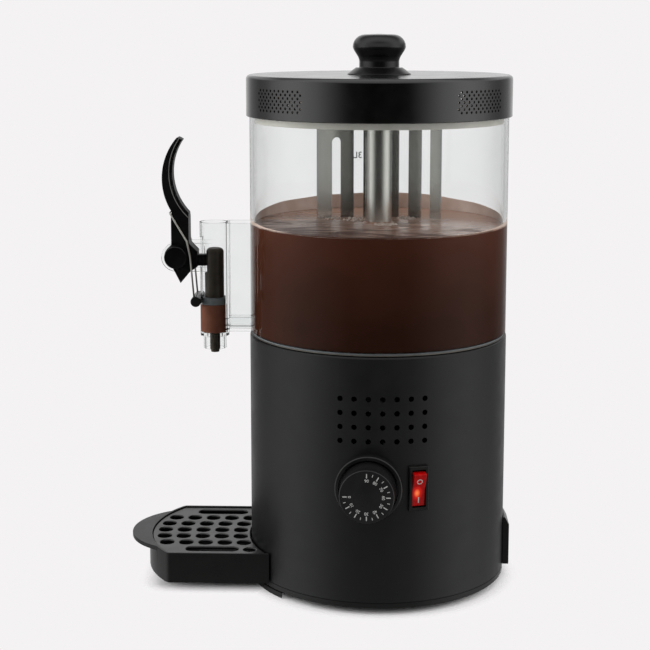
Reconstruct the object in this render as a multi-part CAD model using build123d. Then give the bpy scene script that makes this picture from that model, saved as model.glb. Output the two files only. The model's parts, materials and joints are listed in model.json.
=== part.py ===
from build123d import *
import math
import os

os.makedirs("parts", exist_ok=True)

# Driving sizes in millimetres. The floor is z = 0 and the axis of the body is the z axis.
# The tap and the drip tray face -X, the controls face -Y and the mains inlet faces +X.
body_radius = 92.5
body_top = 180.0
bowl_height = 159.0
lid_height = 29.0
tap_reach = 26.5
tray_reach = 75.5
tray_half_width = 54.4

# Wall thicknesses
body_wall = 1.2
bowl_wall = 3.0
lid_wall = 1.5
tap_wall = 1.4

# Fits: gap parts pieces that move past each other, running is the radial gap of a turning shaft
gap = 0.3
running = 0.05

# Heights and radii that several pieces share
plate_top = 8.0
plate_low = 5.5
rim_low = 4.0
inner_radius = body_radius - body_wall
bowl_radius = body_radius - 0.5
bowl_low = body_top + 2.0
bowl_top = bowl_low + bowl_height
lid_low = bowl_top - 5.5
lid_top = lid_low + lid_height
shaft_radius = 4.0
bush_radius = 7.0
column_top = bowl_top - 4
bush_head = column_top + 0.3


def disc(radius, low, high, x=0.0, y=0.0):
    """Upright cylinder between two heights."""
    solid = Cylinder(radius, high - low, align=(Align.CENTER, Align.CENTER, Align.MIN))
    return Pos(x, y, low) * solid


def ring(outer, inner, low, high, x=0.0, y=0.0):
    """Upright tube between two heights."""
    return disc(outer, low, high, x, y) - disc(inner, low - 1, high + 1, x, y)


def block(x_low, x_high, y_low, y_high, z_low, z_high):
    """Box between two corners."""
    solid = Box(x_high - x_low, y_high - y_low, z_high - z_low, align=(Align.MIN, Align.MIN, Align.MIN))
    return Pos(x_low, y_low, z_low) * solid


def outline_face(points, rounds=()):
    """Flat face from points; rounds lists corners as (point, fillet radius)."""
    face = make_face(Polyline(*points, close=True))
    for corner, radius in rounds:
        vertex = face.vertices().sort_by_distance((corner[0], corner[1], 0))[0]
        face = fillet(vertex, radius)
    return face


def turned(points, rounds=(), x=0.0, y=0.0, arc=360.0, start=0.0):
    """Revolve an outline of (radius, height) points about an upright axis."""
    face = Plane.XZ * outline_face(points, rounds)
    return Pos(x, y, 0) * Rot(0, 0, start) * revolve(face, Axis.Z, arc)


def slab(points, half_width, rounds=()):
    """Extrude an outline of (x, z) points to both sides of the XZ plane."""
    return extrude(Plane.XZ * outline_face(points, rounds), amount=half_width, both=True)


def bar_along_x(radius, x_low, x_high, y, z):
    """Round bar along X."""
    return Pos((x_low + x_high) / 2, y, z) * Rot(0, 90, 0) * Cylinder(radius, x_high - x_low)


def bar_along_y(radius, y_low, y_high, x, z):
    """Round bar along Y."""
    return Pos(x, (y_low + y_high) / 2, z) * Rot(90, 0, 0) * Cylinder(radius, y_high - y_low)


def wall_angle(arc_length, radius):
    """Angle in degrees of an arc length measured round a wall from -Y toward +X."""
    return math.degrees(arc_length / radius)


def wall_place(angle, height, radius):
    """Location on an upright round wall: local z points outward and local y points up."""
    turn = math.radians(angle)
    outward = (math.sin(turn), -math.cos(turn), 0)
    sideways = (math.cos(turn), math.sin(turn), 0)
    origin = (radius * outward[0], radius * outward[1], height)
    return Plane(origin=origin, x_dir=sideways, z_dir=outward).location


def polar(radius, angle):
    """Plan position at an angle from +X toward +Y."""
    return radius * math.cos(math.radians(angle)), radius * math.sin(math.radians(angle))


def wire(points, radius, bend):
    """Round wire along a path with rounded corners."""
    path = FilletPolyline(*points, radius=bend)
    start = Plane(origin=path @ 0, z_dir=path % 0)
    return sweep(start * Circle(radius), path=path)


def save(name, shape):
    export_step(shape, f"parts/{name}.step")


# Drip tray outline, shared by the tray and its grid
tray_front_radius = 87.4
tray_centre_x = tray_front_radius - body_radius - tray_reach
tray_body_gap = 1.2
tray_low = 7.0
tray_top = 29.0


def tray_outline(inset, rear_radius):
    """Plan of the tray: a round front, two straight sides and a hollow that fits the body."""
    front = Pos(tray_centre_x, 0) * Circle(tray_front_radius - inset)
    band = Pos(tray_centre_x, 0) * Rectangle(4 * tray_front_radius, 2 * (tray_half_width - inset))
    return (front & band) - Circle(rear_radius)


# Base plate, feet and the bracket that carries the drip tray
rim_width = 3.5
base_plate = turned([
    (0, plate_low), (body_radius - rim_width, plate_low), (body_radius - rim_width, rim_low),
    (body_radius, rim_low), (body_radius, plate_top), (0, plate_top),
])

foot_radius = 10.0
foot_circle = body_radius - 20.5
foot_angle = 40.0
rear_feet = Part()
for angle in (-foot_angle, foot_angle):
    foot_x, foot_y = polar(foot_circle, angle)
    foot_side = [(0, 0), (foot_radius - 1, 0), (foot_radius, plate_low), (0, plate_low)]
    rear_feet += turned(foot_side, (), foot_x, foot_y)

bracket_radius = body_radius + 0.4
segment_x = -bracket_radius * math.cos(math.radians(44))
strap_half_width = 30.0
strap_end = 35.0
tongue_low = 2.7
tongue_top = tray_low - gap
tongue_inner_y = 14.0
tongue_outer_y = 34.0
tongue_reach = 47.5
segment_cut = block(-2 * body_radius, segment_x, -body_radius, body_radius, 0, rim_low)
tray_bracket = disc(bracket_radius, 0, rim_low) & segment_cut
tray_bracket += block(segment_x - 3, strap_end, -strap_half_width, strap_half_width, 0, plate_low)
for side in (-1, 1):
    tongue_sides = sorted((tongue_inner_y * side, tongue_outer_y * side))
    tray_bracket += block(-body_radius - tongue_reach, -body_radius - 0.7, *tongue_sides, tongue_low,
                          tongue_top)
    tray_bracket += block(-body_radius - 1, -body_radius + 12, *tongue_sides, tongue_low, rim_low)

bracket_screw_radius = 1.9
bracket_head_radius = 3.8
bracket_head_top = 2.3
bracket_screw_top = plate_top - 0.2
bracket_screws = Part()
for screw_x in (-50, 20):
    shank_hole = disc(bracket_screw_radius, 1, bracket_screw_top, screw_x)
    tray_bracket -= disc(bracket_head_radius + 0.2, -1, bracket_head_top, screw_x)
    tray_bracket -= shank_hole
    base_plate -= shank_hole
    bracket_screws += disc(bracket_head_radius, gap, bracket_head_top, screw_x)
    bracket_screws += disc(bracket_screw_radius, bracket_head_top, bracket_screw_top, screw_x)

base_screw_radius = 1.7
base_screw_circle = body_radius - 10.5
base_screw_angles = (-120, -60, 60, 120)
tab_top = plate_top + body_wall
base_screws = Part()
screw_holes = Part()
for angle in base_screw_angles:
    screw_x, screw_y = polar(base_screw_circle, angle)
    base_screws += disc(2 * base_screw_radius, plate_low - 2, plate_low, screw_x, screw_y)
    base_screws += disc(base_screw_radius, plate_low, tab_top + 2, screw_x, screw_y)
    screw_holes += disc(base_screw_radius, plate_low - 1, tab_top + 1, screw_x, screw_y)
base_plate -= screw_holes

# Housing shell with its fixing tabs, vents and cut-outs
rim_round = 2.0
rim_inner = body_radius - 8.5
shell_corner = (body_radius, body_top)
housing_shell = turned([
    (inner_radius, plate_top), (body_radius, plate_top), shell_corner, (rim_inner, body_top),
    (rim_inner, body_top - body_wall), (inner_radius, body_top - body_wall),
], [(shell_corner, rim_round)])
for angle in base_screw_angles:
    tab = block(base_screw_circle - 6, inner_radius + 0.5, -7, 7, plate_top, tab_top)
    housing_shell += Rot(0, 0, angle) * tab
housing_shell -= screw_holes

vent_radius = 1.9
vent_pitch = 9.7
vent_top = body_top - 29.0
vent_centre_arc = 3.2
vents = []
for column in range(7):
    for row in range(4):
        angle = wall_angle(vent_centre_arc + vent_pitch * (column - 3), body_radius)
        vents.append(wall_place(angle, vent_top - vent_pitch * row, body_radius) * Cylinder(vent_radius, 8))
housing_shell -= vents

# Thermostat, its dial and the bezel behind the dial
dial_height = body_top - 90.0
dial_arc = -6.0
dial_place = wall_place(wall_angle(dial_arc, body_radius), dial_height, body_radius)
spindle_radius = 2.95
spindle_low = -8.0
spindle_top = 16.9
bezel_radius = 23.0
bezel_top = 5.0
bezel_floor = 2.0
recess_radius = 20.0
dial_radius = 19.2
dial_face = 22.0
dial_low = bezel_floor + 0.6
thermostat_screw_x = 13.0
thermostat_screw_radius = 1.5
thermostat_head_radius = 3.0

thermostat_half_width = 18.0
thermostat_half_height = 17.0
thermostat_depth = 24.0
thermostat_boss = 8.0
thermostat_front = math.sqrt(inner_radius ** 2 - thermostat_half_width ** 2) - body_radius - 0.2
boss_front = math.sqrt(inner_radius ** 2 - thermostat_boss ** 2) - body_radius - running
thermostat_body = block(-thermostat_half_width, thermostat_half_width, -thermostat_half_height,
                        thermostat_half_height, thermostat_front - thermostat_depth, thermostat_front)
thermostat_body += disc(thermostat_boss, thermostat_front, boss_front)
thermostat_body -= disc(spindle_radius + running, spindle_low - gap, 0)

dial_bezel = turned([(0, -4), (bezel_radius, -4), (bezel_radius, bezel_top), (0, bezel_top)],
                    [((bezel_radius, bezel_top), 1.5)])
dial_bezel -= disc(recess_radius, bezel_floor, bezel_top + 1)
dial_bezel -= disc(spindle_radius + 1, -5, bezel_top)

thermostat_screws = Part()
thermostat_holes = Part()
for side in (-1, 1):
    screw_x = side * thermostat_screw_x
    thermostat_screws += disc(thermostat_head_radius, bezel_floor, bezel_floor + 1.9, screw_x)
    thermostat_screws += disc(thermostat_screw_radius, -12, bezel_floor, screw_x)
    thermostat_holes += disc(thermostat_screw_radius, -12, bezel_floor + 1, screw_x)
thermostat_screws = dial_place * thermostat_screws
thermostat_body = dial_place * (thermostat_body - thermostat_holes)
dial_bezel = dial_place * (dial_bezel - thermostat_holes)
dial_bezel -= disc(body_radius + running, 0, body_top)
housing_shell -= dial_place * (thermostat_holes + disc(5, -6, 6))

dial_side = [(0, dial_low), (dial_radius, dial_low), (dial_radius - 0.7, dial_face), (0, dial_face)]
dial_knob = turned(dial_side, [((dial_radius - 0.7, dial_face), 1.2)])
dial_knob -= disc(dial_radius - 2.2, dial_low - 1, 6)
dial_knob -= disc(spindle_radius, dial_low, spindle_top)
dial_knob = dial_place * dial_knob
dial_spindle = dial_place * disc(spindle_radius, spindle_low, spindle_top)

# Rocker switch: housing with its bezel, rocker and tabs
switch_height = body_top - 91.0
switch_arc = 27.8
switch_angle = wall_angle(switch_arc, body_radius)
switch_place = wall_place(switch_angle, switch_height, body_radius)
switch_half_width = 5.8
switch_half_height = 14.4
switch_depth = 25.0
opening_half_width = 4.8
opening_half_height = 13.1
rocker_half_width = 4.5
rocker_reach = 12.6
rocker_pivot = -1.5
rocker_tilt = 12.0
trunnion_radius = 1.0
trunnion_reach = 5.4

switch_bezel_width = 7.0
switch_bezel_height = 15.5
switch_bezel_top = 2.5
switch_bezel = block(-switch_bezel_width, switch_bezel_width, -switch_bezel_height, switch_bezel_height, -1,
                     switch_bezel_top)
switch_housing = switch_place * fillet(switch_bezel.edges().group_by(Axis.Z)[-1], 0.8)
switch_housing -= disc(body_radius + running, 0, body_top)
switch_can = block(-switch_half_width, switch_half_width, -switch_half_height, switch_half_height,
                   -switch_depth, 0.5)
switch_housing += switch_place * switch_can
thermostat_body -= switch_place * block(-switch_half_width - gap, switch_half_width + gap,
                                        -switch_half_height - gap, switch_half_height + gap,
                                        -switch_depth - gap, 0)
switch_opening = block(-opening_half_width, opening_half_width, -opening_half_height, opening_half_height,
                       -8, switch_bezel_top + 1)
switch_opening += bar_along_x(trunnion_radius + running, -trunnion_reach - gap, trunnion_reach + gap, 0,
                              rocker_pivot)
switch_housing -= switch_place * switch_opening
housing_shell -= switch_place * block(-switch_half_width - gap, switch_half_width + gap,
                                      -switch_half_height - gap, switch_half_height + gap, -10, 10)

tab_depth = 8.0
switch_tabs = Part()
for tab_y in (-8, 0, 8):
    switch_tabs += block(-3.15, 3.15, tab_y - 0.4, tab_y + 0.4, -switch_depth - tab_depth, -switch_depth)
switch_tabs = switch_place * switch_tabs

rocker_face = outline_face([(-12, 3.4), (0, 2.0), (12, 3.4), (12, -2.0), (5, -4), (-5, -4), (-12, -2.0)])
rocker_face = rocker_face & (Pos(0, rocker_pivot) * Circle(rocker_reach))
switch_rocker = extrude(Plane.YZ * rocker_face, amount=rocker_half_width, both=True)
switch_rocker += bar_along_x(trunnion_radius, -trunnion_reach, trunnion_reach, 0, rocker_pivot)
rocker_turn = Pos(0, 0, rocker_pivot) * Rot(rocker_tilt, 0, 0) * Pos(0, 0, -rocker_pivot)
switch_rocker = switch_place * rocker_turn * switch_rocker

# Mains inlet at the back of the base: cover, socket and pins
inlet_half_width = 10.0
inlet_low = 10.0
inlet_high = 37.0
inlet_back = body_radius - 22.0
inlet_front = body_radius + 3.0
inlet_floor = body_radius - 13.0
inlet_mid = (inlet_low + inlet_high) / 2
inlet_cut = block(inlet_back - 1, body_radius + 10, -inlet_half_width - 0.2, inlet_half_width + 0.2,
                  inlet_low - 0.2, inlet_high + 0.2)
housing_shell -= inlet_cut
inlet_cover = slab([
    (body_radius - 3, plate_top + 0.5), (body_radius + 4, plate_top + 0.5),
    (body_radius + 4, inlet_high + 1.5), (body_radius + 1, inlet_high + 7), (body_radius - 3, inlet_high + 7),
], inlet_half_width + 3)
inlet_cover -= disc(body_radius + running, 0, body_top)
inlet_cover -= inlet_cut
inlet_socket = block(inlet_back, inlet_front, -inlet_half_width, inlet_half_width, inlet_low, inlet_high)
inlet_socket -= block(inlet_floor, inlet_front + 1, -inlet_half_width + 1.8, inlet_half_width - 1.8,
                      inlet_low + 1.5, inlet_high - 1.5)
inlet_pins = Part()
for pin_y, pin_z in ((-2, inlet_mid - 7), (2, inlet_mid), (-2, inlet_mid + 7)):
    inlet_pins += block(inlet_floor, inlet_floor + 13.5, pin_y - 2, pin_y + 2, pin_z - 1, pin_z + 1)

# Heater: a pan that hangs inside the housing rim, with insulation, element and plate in it
pan_radius = body_radius - 9.0
pan_wall = 1.0
pan_low = body_top - 22.0
pan_floor = pan_low + pan_wall
pan_flange = body_top - body_wall
heater_bore = 11.0
plate_underside = body_top - 9.3
heater_tray = turned([
    (bush_radius, pan_low), (pan_radius, pan_low), (pan_radius, pan_flange - body_wall),
    (inner_radius - gap, pan_flange - body_wall), (inner_radius - gap, pan_flange),
    (pan_radius - pan_wall, pan_flange), (pan_radius - pan_wall, pan_floor), (bush_radius, pan_floor),
])
heater_plate = ring(pan_radius - 2, heater_bore, plate_underside, plate_underside + 6)
insulation_top = pan_floor + 5
heat_insulation = ring(pan_radius - pan_wall - gap, heater_bore, pan_floor, insulation_top)

element_radius = body_radius - 34.5
element_tube = 3.2
element_height = plate_underside - element_tube
element_gap = 30.0
element_section = Plane.XZ * (Pos(element_radius, element_height) * Circle(element_tube))
element_coil = revolve(element_section, Axis.Z, 360 - element_gap)
heating_element = Rot(0, 0, 90 + element_gap / 2) * element_coil
pin_low = pan_low - 4
element_ends = []
for side in (-1, 1):
    pin_x, pin_y = polar(element_radius, 90 + side * element_gap / 2)
    element_ends.append((pin_x, pin_y))
    heating_element += disc(2, pin_low, element_height, pin_x, pin_y)
    pin_hole = disc(3, pan_low - 1, insulation_top + 1, pin_x, pin_y)
    heater_tray -= pin_hole
    heat_insulation -= pin_hole

cutout_radius = 7.8
cutout_x = -26.0
cutout_y = 15.0
thermal_cutout = disc(cutout_radius, insulation_top - 1, plate_underside, cutout_x, cutout_y)
for side in (-1, 1):
    tab_x = cutout_x + 4 * side
    thermal_cutout += block(tab_x - 0.4, tab_x + 0.4, cutout_y - 3, cutout_y + 3, pan_floor + 0.4,
                            insulation_top - 1)
heat_insulation -= disc(cutout_radius + 1.2, pan_low, insulation_top + 1, cutout_x, cutout_y)

bulb_radius = 3.0
bulb_y = 20.0 - element_radius
bulb_z = plate_underside - bulb_radius
bulb_low_x = -0.34 * element_radius
bulb_high_x = 0.5 * element_radius
capillary_radius = 0.8
capillary_x = bulb_low_x - 12
thermostat_roof = dial_height + thermostat_half_height
thermostat_bulb = bar_along_x(bulb_radius, bulb_low_x, bulb_high_x, bulb_y, bulb_z)
thermostat_bulb += wire([
    (bulb_low_x + 1, bulb_y, bulb_z), (capillary_x, bulb_y, bulb_z), (capillary_x, bulb_y, body_top - 55),
    (-12, 24 - body_radius, body_top - 55), (-12, 24 - body_radius, thermostat_roof),
], capillary_radius, 4)
capillary_hole = disc(capillary_radius + 0.7, pan_low - 1, insulation_top + 1, capillary_x, bulb_y)
heater_tray -= capillary_hole
heat_insulation -= capillary_hole

# Stirrer drive: motor under a gearbox that hangs from the heater pan
gear_module = 1.0
pressure_angle = math.radians(20)
backlash = 0.5
drive_teeth = 48
pinion_teeth = 16
gear_centres = gear_module * (drive_teeth + pinion_teeth) / 2
gearbox_y = 12.0
gearbox_radius = 42.0
cover_top = pan_low - 12
cover_low = cover_top - 2
box_low = cover_top - 20
motor_radius = 28.0
motor_low = box_low - 48
motor_shaft_radius = 2.5


def involute(radius, base):
    """Involute of the flank angle at a radius."""
    angle = math.acos(min(1.0, base / radius))
    return math.tan(angle) - angle


def gear(teeth, low, high, turn, bore):
    """Spur gear with involute flanks, thinned for backlash; turn sets its first tooth in degrees."""
    pitch = gear_module * teeth / 2
    base = pitch * math.cos(pressure_angle)
    root = pitch - 1.25 * gear_module
    tip = pitch + gear_module
    flank = sorted({root, max(root, base), pitch, tip})
    half_tooth = math.pi / (2 * teeth) - backlash / (4 * pitch)
    points = []
    for tooth in range(teeth):
        centre = math.radians(turn) + 2 * math.pi * tooth / teeth
        for side, radii in ((-1, flank), (1, flank[::-1])):
            for radius in radii:
                half = half_tooth + involute(pitch, base) - involute(max(radius, base), base)
                angle = centre + side * half
                points.append((radius * math.cos(angle), radius * math.sin(angle)))
    wheel = extrude(outline_face(points), amount=high - low)
    return Pos(0, 0, low) * (wheel - disc(bore, -1, high - low + 1))


gearbox_cover = disc(gearbox_radius, cover_low, cover_top, 0, gearbox_y)
gearbox_cover -= disc(bush_radius, cover_low - 1, cover_top + 1)
gearbox_housing = disc(gearbox_radius, box_low, cover_low, 0, gearbox_y)
gearbox_housing -= disc(gearbox_radius - 2, box_low + 2.5, cover_low + 1, 0, gearbox_y)
gearbox_housing -= disc(bush_radius - 1, box_low - 1, box_low + 3)
motor_shaft_hole = disc(motor_shaft_radius + running, motor_low - 1, box_low + 3, 0, gear_centres)
gearbox_housing -= motor_shaft_hole

standoff_radius = 3.5
standoff_circle = 36.0
gearbox_standoffs = Part()
gearbox_screws = Part()
for angle in (-30, 90, 210):
    post_x, post_y = polar(standoff_circle, angle)
    post_y += gearbox_y
    screw_hole = disc(1.5, cover_low - 1, cover_top + 6, post_x, post_y)
    gearbox_standoffs += disc(standoff_radius, cover_top, pan_low, post_x, post_y) - screw_hole
    gearbox_cover -= screw_hole
    gearbox_screws += disc(3, cover_low - 2.5, cover_low, post_x, post_y)
    gearbox_screws += disc(1.5, cover_low, cover_top + 6, post_x, post_y)

bush_top = pan_low + 4
shaft_bushes = ring(bush_radius, shaft_radius + running, cover_low, bush_top)
shaft_bushes += ring(bush_radius - 1, shaft_radius + running, box_low, box_low + 4)

motor_wall = 1.2
motor_housing = disc(motor_radius, motor_low, box_low, 0, gear_centres)
motor_housing -= disc(motor_radius - motor_wall, motor_low + motor_wall, box_low - motor_wall, 0,
                      gear_centres)
motor_housing -= motor_shaft_hole
stator_bore = 15.2
motor_stator = ring(motor_radius - motor_wall, stator_bore, motor_low + 10, box_low - 10, 0, gear_centres)
motor_rotor = disc(stator_bore - 0.7, motor_low + 8, box_low - 8, 0, gear_centres)
motor_rotor += disc(motor_shaft_radius, motor_low - 2, box_low + 15, 0, gear_centres)
motor_pinion = gear(pinion_teeth, box_low + 4, box_low + 14, 180 / pinion_teeth, motor_shaft_radius)
motor_pinion = Pos(0, gear_centres, 0) * motor_pinion

drive_gear = gear(drive_teeth, box_low + 4.3, box_low + 12.3, 0, shaft_radius)
shaft_top = bowl_top + 6
flat_y = -2.8
drive_shaft = disc(shaft_radius, box_low + 0.6, shaft_top)
drive_shaft -= block(-shaft_radius, shaft_radius, -shaft_radius - 1, flat_y, bush_head, shaft_top + 1)

# Terminal block on the base plate and the wires that meet there
block_top = plate_top + 16
terminal_block = block(-18, 18, -24, -6, plate_top, block_top)
tab_end_radius = body_radius - switch_depth - tab_depth
switch_wire_points = []
for radius in (tab_end_radius, tab_end_radius - 9):
    point_x, point_y = polar(radius, switch_angle - 90)
    switch_wire_points.append((point_x, point_y, switch_height - 8))
pin_x, pin_y = element_ends[0]
wire_radius = 1.5
wire_bend = 6.0
wire_height = inlet_mid + 6
wiring_loom = wire([(inlet_back, 0, wire_height), (45, 0, wire_height), (12, -15, 36), (12, -15, block_top)],
                   wire_radius, wire_bend)
wiring_loom += wire(switch_wire_points + [(0, -15, 45), (0, -15, block_top)], wire_radius, wire_bend)
wiring_loom += wire([(10, gear_centres - 7, motor_low), (10, gear_centres - 7, motor_low - 10), (-6, -15, 44),
                     (-6, -15, block_top)], wire_radius, wire_bend)
wire_turn = pin_low - 4.5
wiring_loom += wire([(pin_x, pin_y, pin_low), (pin_x, pin_y, wire_turn), (44, 50, wire_turn), (44, 50, 60),
                     (16, -10, 40), (16, -10, block_top)], wire_radius, wire_bend / 2)

# Lift-off bowl: floor, gasket, clear cylinder, centre column and its bush
column_radius = 9.5
column_bore = 8.5
sheet = 0.8
well_radius = pan_radius - 2
flange_low = body_top + gap
well_low = body_top - 3
bowl_floor = turned([
    (column_radius, well_low), (well_radius, well_low), (well_radius, flange_low), (bowl_radius, flange_low),
    (bowl_radius, body_top + 1), (well_radius - sheet, body_top + 1), (well_radius - sheet, well_low + sheet),
    (column_radius, well_low + sheet),
])
bowl_gasket = ring(bowl_radius - 0.5, bowl_radius - 3.8, body_top + 1, bowl_low)
port_height = body_top + 5.8
port_radius = 3.0
bowl_cylinder = ring(bowl_radius, bowl_radius - bowl_wall, bowl_low, bowl_top)
bowl_cylinder -= bar_along_x(port_radius, -bowl_radius - 5, -bowl_radius + 10, 0, port_height)
column_tube = ring(column_radius, column_bore, well_low, column_top)
column_bush = ring(column_bore, shaft_radius + 2 * running, column_top - 10, bush_head)

# Stirrer: a hub on the flat of the shaft and a slotted curved blade behind the column
hub_radius = 15.0
hub_low = column_top - 6
hub_top = bowl_top + 8
bore_low = bush_head + gap
stirrer_hub = disc(hub_radius, hub_low, hub_top)
stirrer_hub -= disc(column_radius + 0.4, hub_low - 1, bore_low)
drive_bore = disc(shaft_radius + gap, bore_low - 1, shaft_top + 0.5)
drive_bore -= block(-10, 10, -10, flat_y - gap, bore_low - 1, shaft_top + 1)
stirrer_hub -= drive_bore

blade_radius = 84.0
blade_thickness = 2.0
blade_set_back = 33.0
blade_y = blade_set_back - blade_radius
blade_low = body_top + 10
blade_top = bowl_top + 4
blade_inner = blade_radius - blade_thickness / 2
blade_outer = blade_radius + blade_thickness / 2
blade_start = 57.3
blade_arc = 64.8
arm_inner = blade_radius - blade_set_back + 8
slot_count = 5
slot_pitch = 11.5
slot_width = 7.4
slot_low = body_top + 20
slot_top = bowl_top - 8
first_slot = 65.65
stirrer_blade = turned([(blade_inner, blade_low), (blade_outer, blade_low), (blade_outer, blade_top),
                        (blade_inner, blade_top)], (), 0, blade_y, blade_arc, blade_start)
stirrer_blade += turned([(arm_inner, blade_top - 2), (blade_outer, blade_top - 2), (blade_outer, blade_top),
                         (arm_inner, blade_top)], (), 0, blade_y, blade_arc, blade_start)
stirrer_blade -= disc(hub_radius, blade_top - 3, blade_top + 1)
for slot in range(slot_count):
    angle = first_slot + slot_pitch * slot
    top = slot_top
    if slot == slot_count - 1:
        top = slot_top - 15
    slot_x, slot_y = polar(blade_radius, angle)
    slot_centre = (slot_x, slot_y + blade_y, (slot_low + top) / 2)
    slot_plane = Plane(origin=slot_centre, x_dir=(0, 0, 1), z_dir=(slot_x, slot_y, 0))
    slot_face = slot_plane * SlotOverall(top - slot_low, slot_width)
    stirrer_blade -= extrude(slot_face, amount=4, both=True)

# Lid: shell with four vent patches, grey collar, knob and its screw
lid_radius = body_radius + 1.8
lid_corner = (lid_radius, lid_top)
knob_screw_radius = 2.0
lid_shell = turned([
    (knob_screw_radius, lid_top - lid_wall), (lid_radius - lid_wall, lid_top - lid_wall),
    (lid_radius - lid_wall, lid_low), (lid_radius, lid_low), lid_corner, (knob_screw_radius, lid_top),
], [(lid_corner, 3), ((lid_radius, lid_low), 0.6)])
lid_hole_radius = 0.92
lid_hole_pitch = 4.36
lid_row_pitch = 2.27
lid_vent_height = lid_low + 13.0
lid_vent_angle = 47.0
lid_holes = []
for patch_angle in (-180 + lid_vent_angle, -lid_vent_angle, lid_vent_angle, 180 - lid_vent_angle):
    for row in range(7):
        holes_in_row = 10 + row % 2
        for hole in range(holes_in_row):
            arc = lid_hole_pitch * (hole - (holes_in_row - 1) / 2)
            height = lid_vent_height + lid_row_pitch * (row - 3)
            place = wall_place(patch_angle + wall_angle(arc, lid_radius), height, lid_radius)
            lid_holes.append(place * Cylinder(lid_hole_radius, 6))
lid_shell -= lid_holes

collar_outer = bowl_radius + 0.5
collar_bore = bowl_radius - 6
spigot_radius = bowl_radius - bowl_wall - 0.5
collar_low = bowl_top + gap
lid_collar = ring(spigot_radius, collar_bore, bowl_top - 10, collar_low + 2)
lid_collar += ring(collar_outer, collar_bore, collar_low, collar_low + 2)
for angle in (0, 90, 180, 270):
    lid_collar += turned([(collar_outer - 2, collar_low + 2), (collar_outer, collar_low + 2),
                          (collar_outer, lid_top - lid_wall), (collar_outer - 2, lid_top - lid_wall)],
                         arc=30, start=angle - 15)

knob_flange = 22.5
knob_neck = 14.2
knob_head = 18.8
knob_height = 28.5
knob_step = 4.8
knob_shoulder = (knob_head, knob_height - 9.9)
knob_brow = (knob_head, knob_height - 2.2)
lid_knob = Pos(0, 0, lid_top) * turned([
    (0, 0), (knob_flange, 0), (knob_flange, 0.6), (knob_neck + 2.4, knob_step), (knob_neck, knob_step + 0.2),
    (knob_neck, knob_height - 17), knob_shoulder, knob_brow, (0, knob_height),
], [(knob_shoulder, 8), (knob_brow, 5)])
knob_screw_top = lid_top + 14
lid_knob -= disc(knob_screw_radius, lid_top - 1, knob_screw_top)
knob_screw = disc(2 * knob_screw_radius, lid_top - lid_wall - 3, lid_top - lid_wall)
knob_screw += disc(knob_screw_radius, lid_top - lid_wall, knob_screw_top)

# Tap body: an upright chamber, a cross wall with two side plates that reach the bowl, two lever ears
tap_x = -bowl_radius - tap_reach
tap_radius = 10.4
tap_bore = tap_radius - tap_wall
tap_low = body_top - 4
tap_floor = tap_low + 2.5
tap_top = body_top + 79
ear_thickness = 2.0
pivot_x = tap_x - tap_radius - 16.4
pivot_z = body_top + 54.3
ear_radius = 10.2
pin_radius = 3.0
nose_half_width = 3.5
wall_start = tap_x + tap_bore
tap_body = disc(tap_radius, tap_low, tap_top, tap_x)
tap_body += block(wall_start, wall_start + ear_thickness, -tap_radius, tap_radius, body_top + 0.5, tap_top)
for side in (-1, 1):
    plate_sides = sorted((side * (tap_radius - ear_thickness), side * tap_radius))
    tap_body += block(wall_start, -bowl_radius + 5, *plate_sides, body_top + 0.5, tap_top)
    tap_body += block(pivot_x, tap_x, *plate_sides, pivot_z - ear_radius, pivot_z + ear_radius)
    tap_body += bar_along_y(ear_radius, *plate_sides, pivot_x, pivot_z)
tap_body += bar_along_x(port_radius + 2, tap_x + tap_bore, -bowl_radius + 5, 0, port_height)
tap_body += ring(8.2, 6.6, tap_low - 9.5, tap_low, tap_x)
tap_body -= disc(tap_bore, tap_floor, tap_top + 1, tap_x)
tap_body -= disc(5, tap_low - 1, tap_floor + 1, tap_x)
tap_body -= bar_along_x(port_radius, tap_x, -bowl_radius + 5, 0, port_height)
tap_body -= block(tap_x - tap_radius - 1, tap_x - 5, -nose_half_width - 0.5, nose_half_width + 0.5,
                  pivot_z - 7.8, pivot_z + 13.7)
tap_body -= bar_along_y(pin_radius, -tap_radius - 1, tap_radius + 1, pivot_x, pivot_z)
tap_body -= disc(bowl_radius, tap_low - 20, tap_top + 20)

# Lever pin, its cap, the spring anchor and the wire return spring
pin_head_radius = 8.0
pin_head = 2.5
lever_pin = bar_along_y(pin_radius, -tap_radius, tap_radius, pivot_x, pivot_z)
lever_pin += bar_along_y(pin_head_radius, -tap_radius - pin_head, -tap_radius, pivot_x, pivot_z)
pin_cap = bar_along_y(pin_head_radius, tap_radius, tap_radius + pin_head, pivot_x, pivot_z)

spring_wire = 0.65
spring_y = tap_radius + 1.0
anchor_x = tap_x - tap_radius - 2.1
anchor_z = body_top + 22.3
catch_x = pivot_x - 3.6
catch_z = pivot_z + 32.2
spring_leg = [(anchor_x - 1, anchor_z), (pivot_x + 10.6, pivot_z + 0.7), (pivot_x + 8.3, pivot_z + 11.7),
              (catch_x, catch_z)]
spring_points = [(x, -spring_y, z) for x, z in spring_leg] + [(x, spring_y, z) for x, z in spring_leg[::-1]]
lever_spring = wire(spring_points, spring_wire, 1.5)
spring_anchor = bar_along_y(3.75, -tap_radius - 2.6, tap_radius + 2.6, anchor_x, anchor_z)
spring_anchor -= disc(tap_radius, tap_low, tap_top, tap_x)
spring_anchor -= lever_spring

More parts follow.
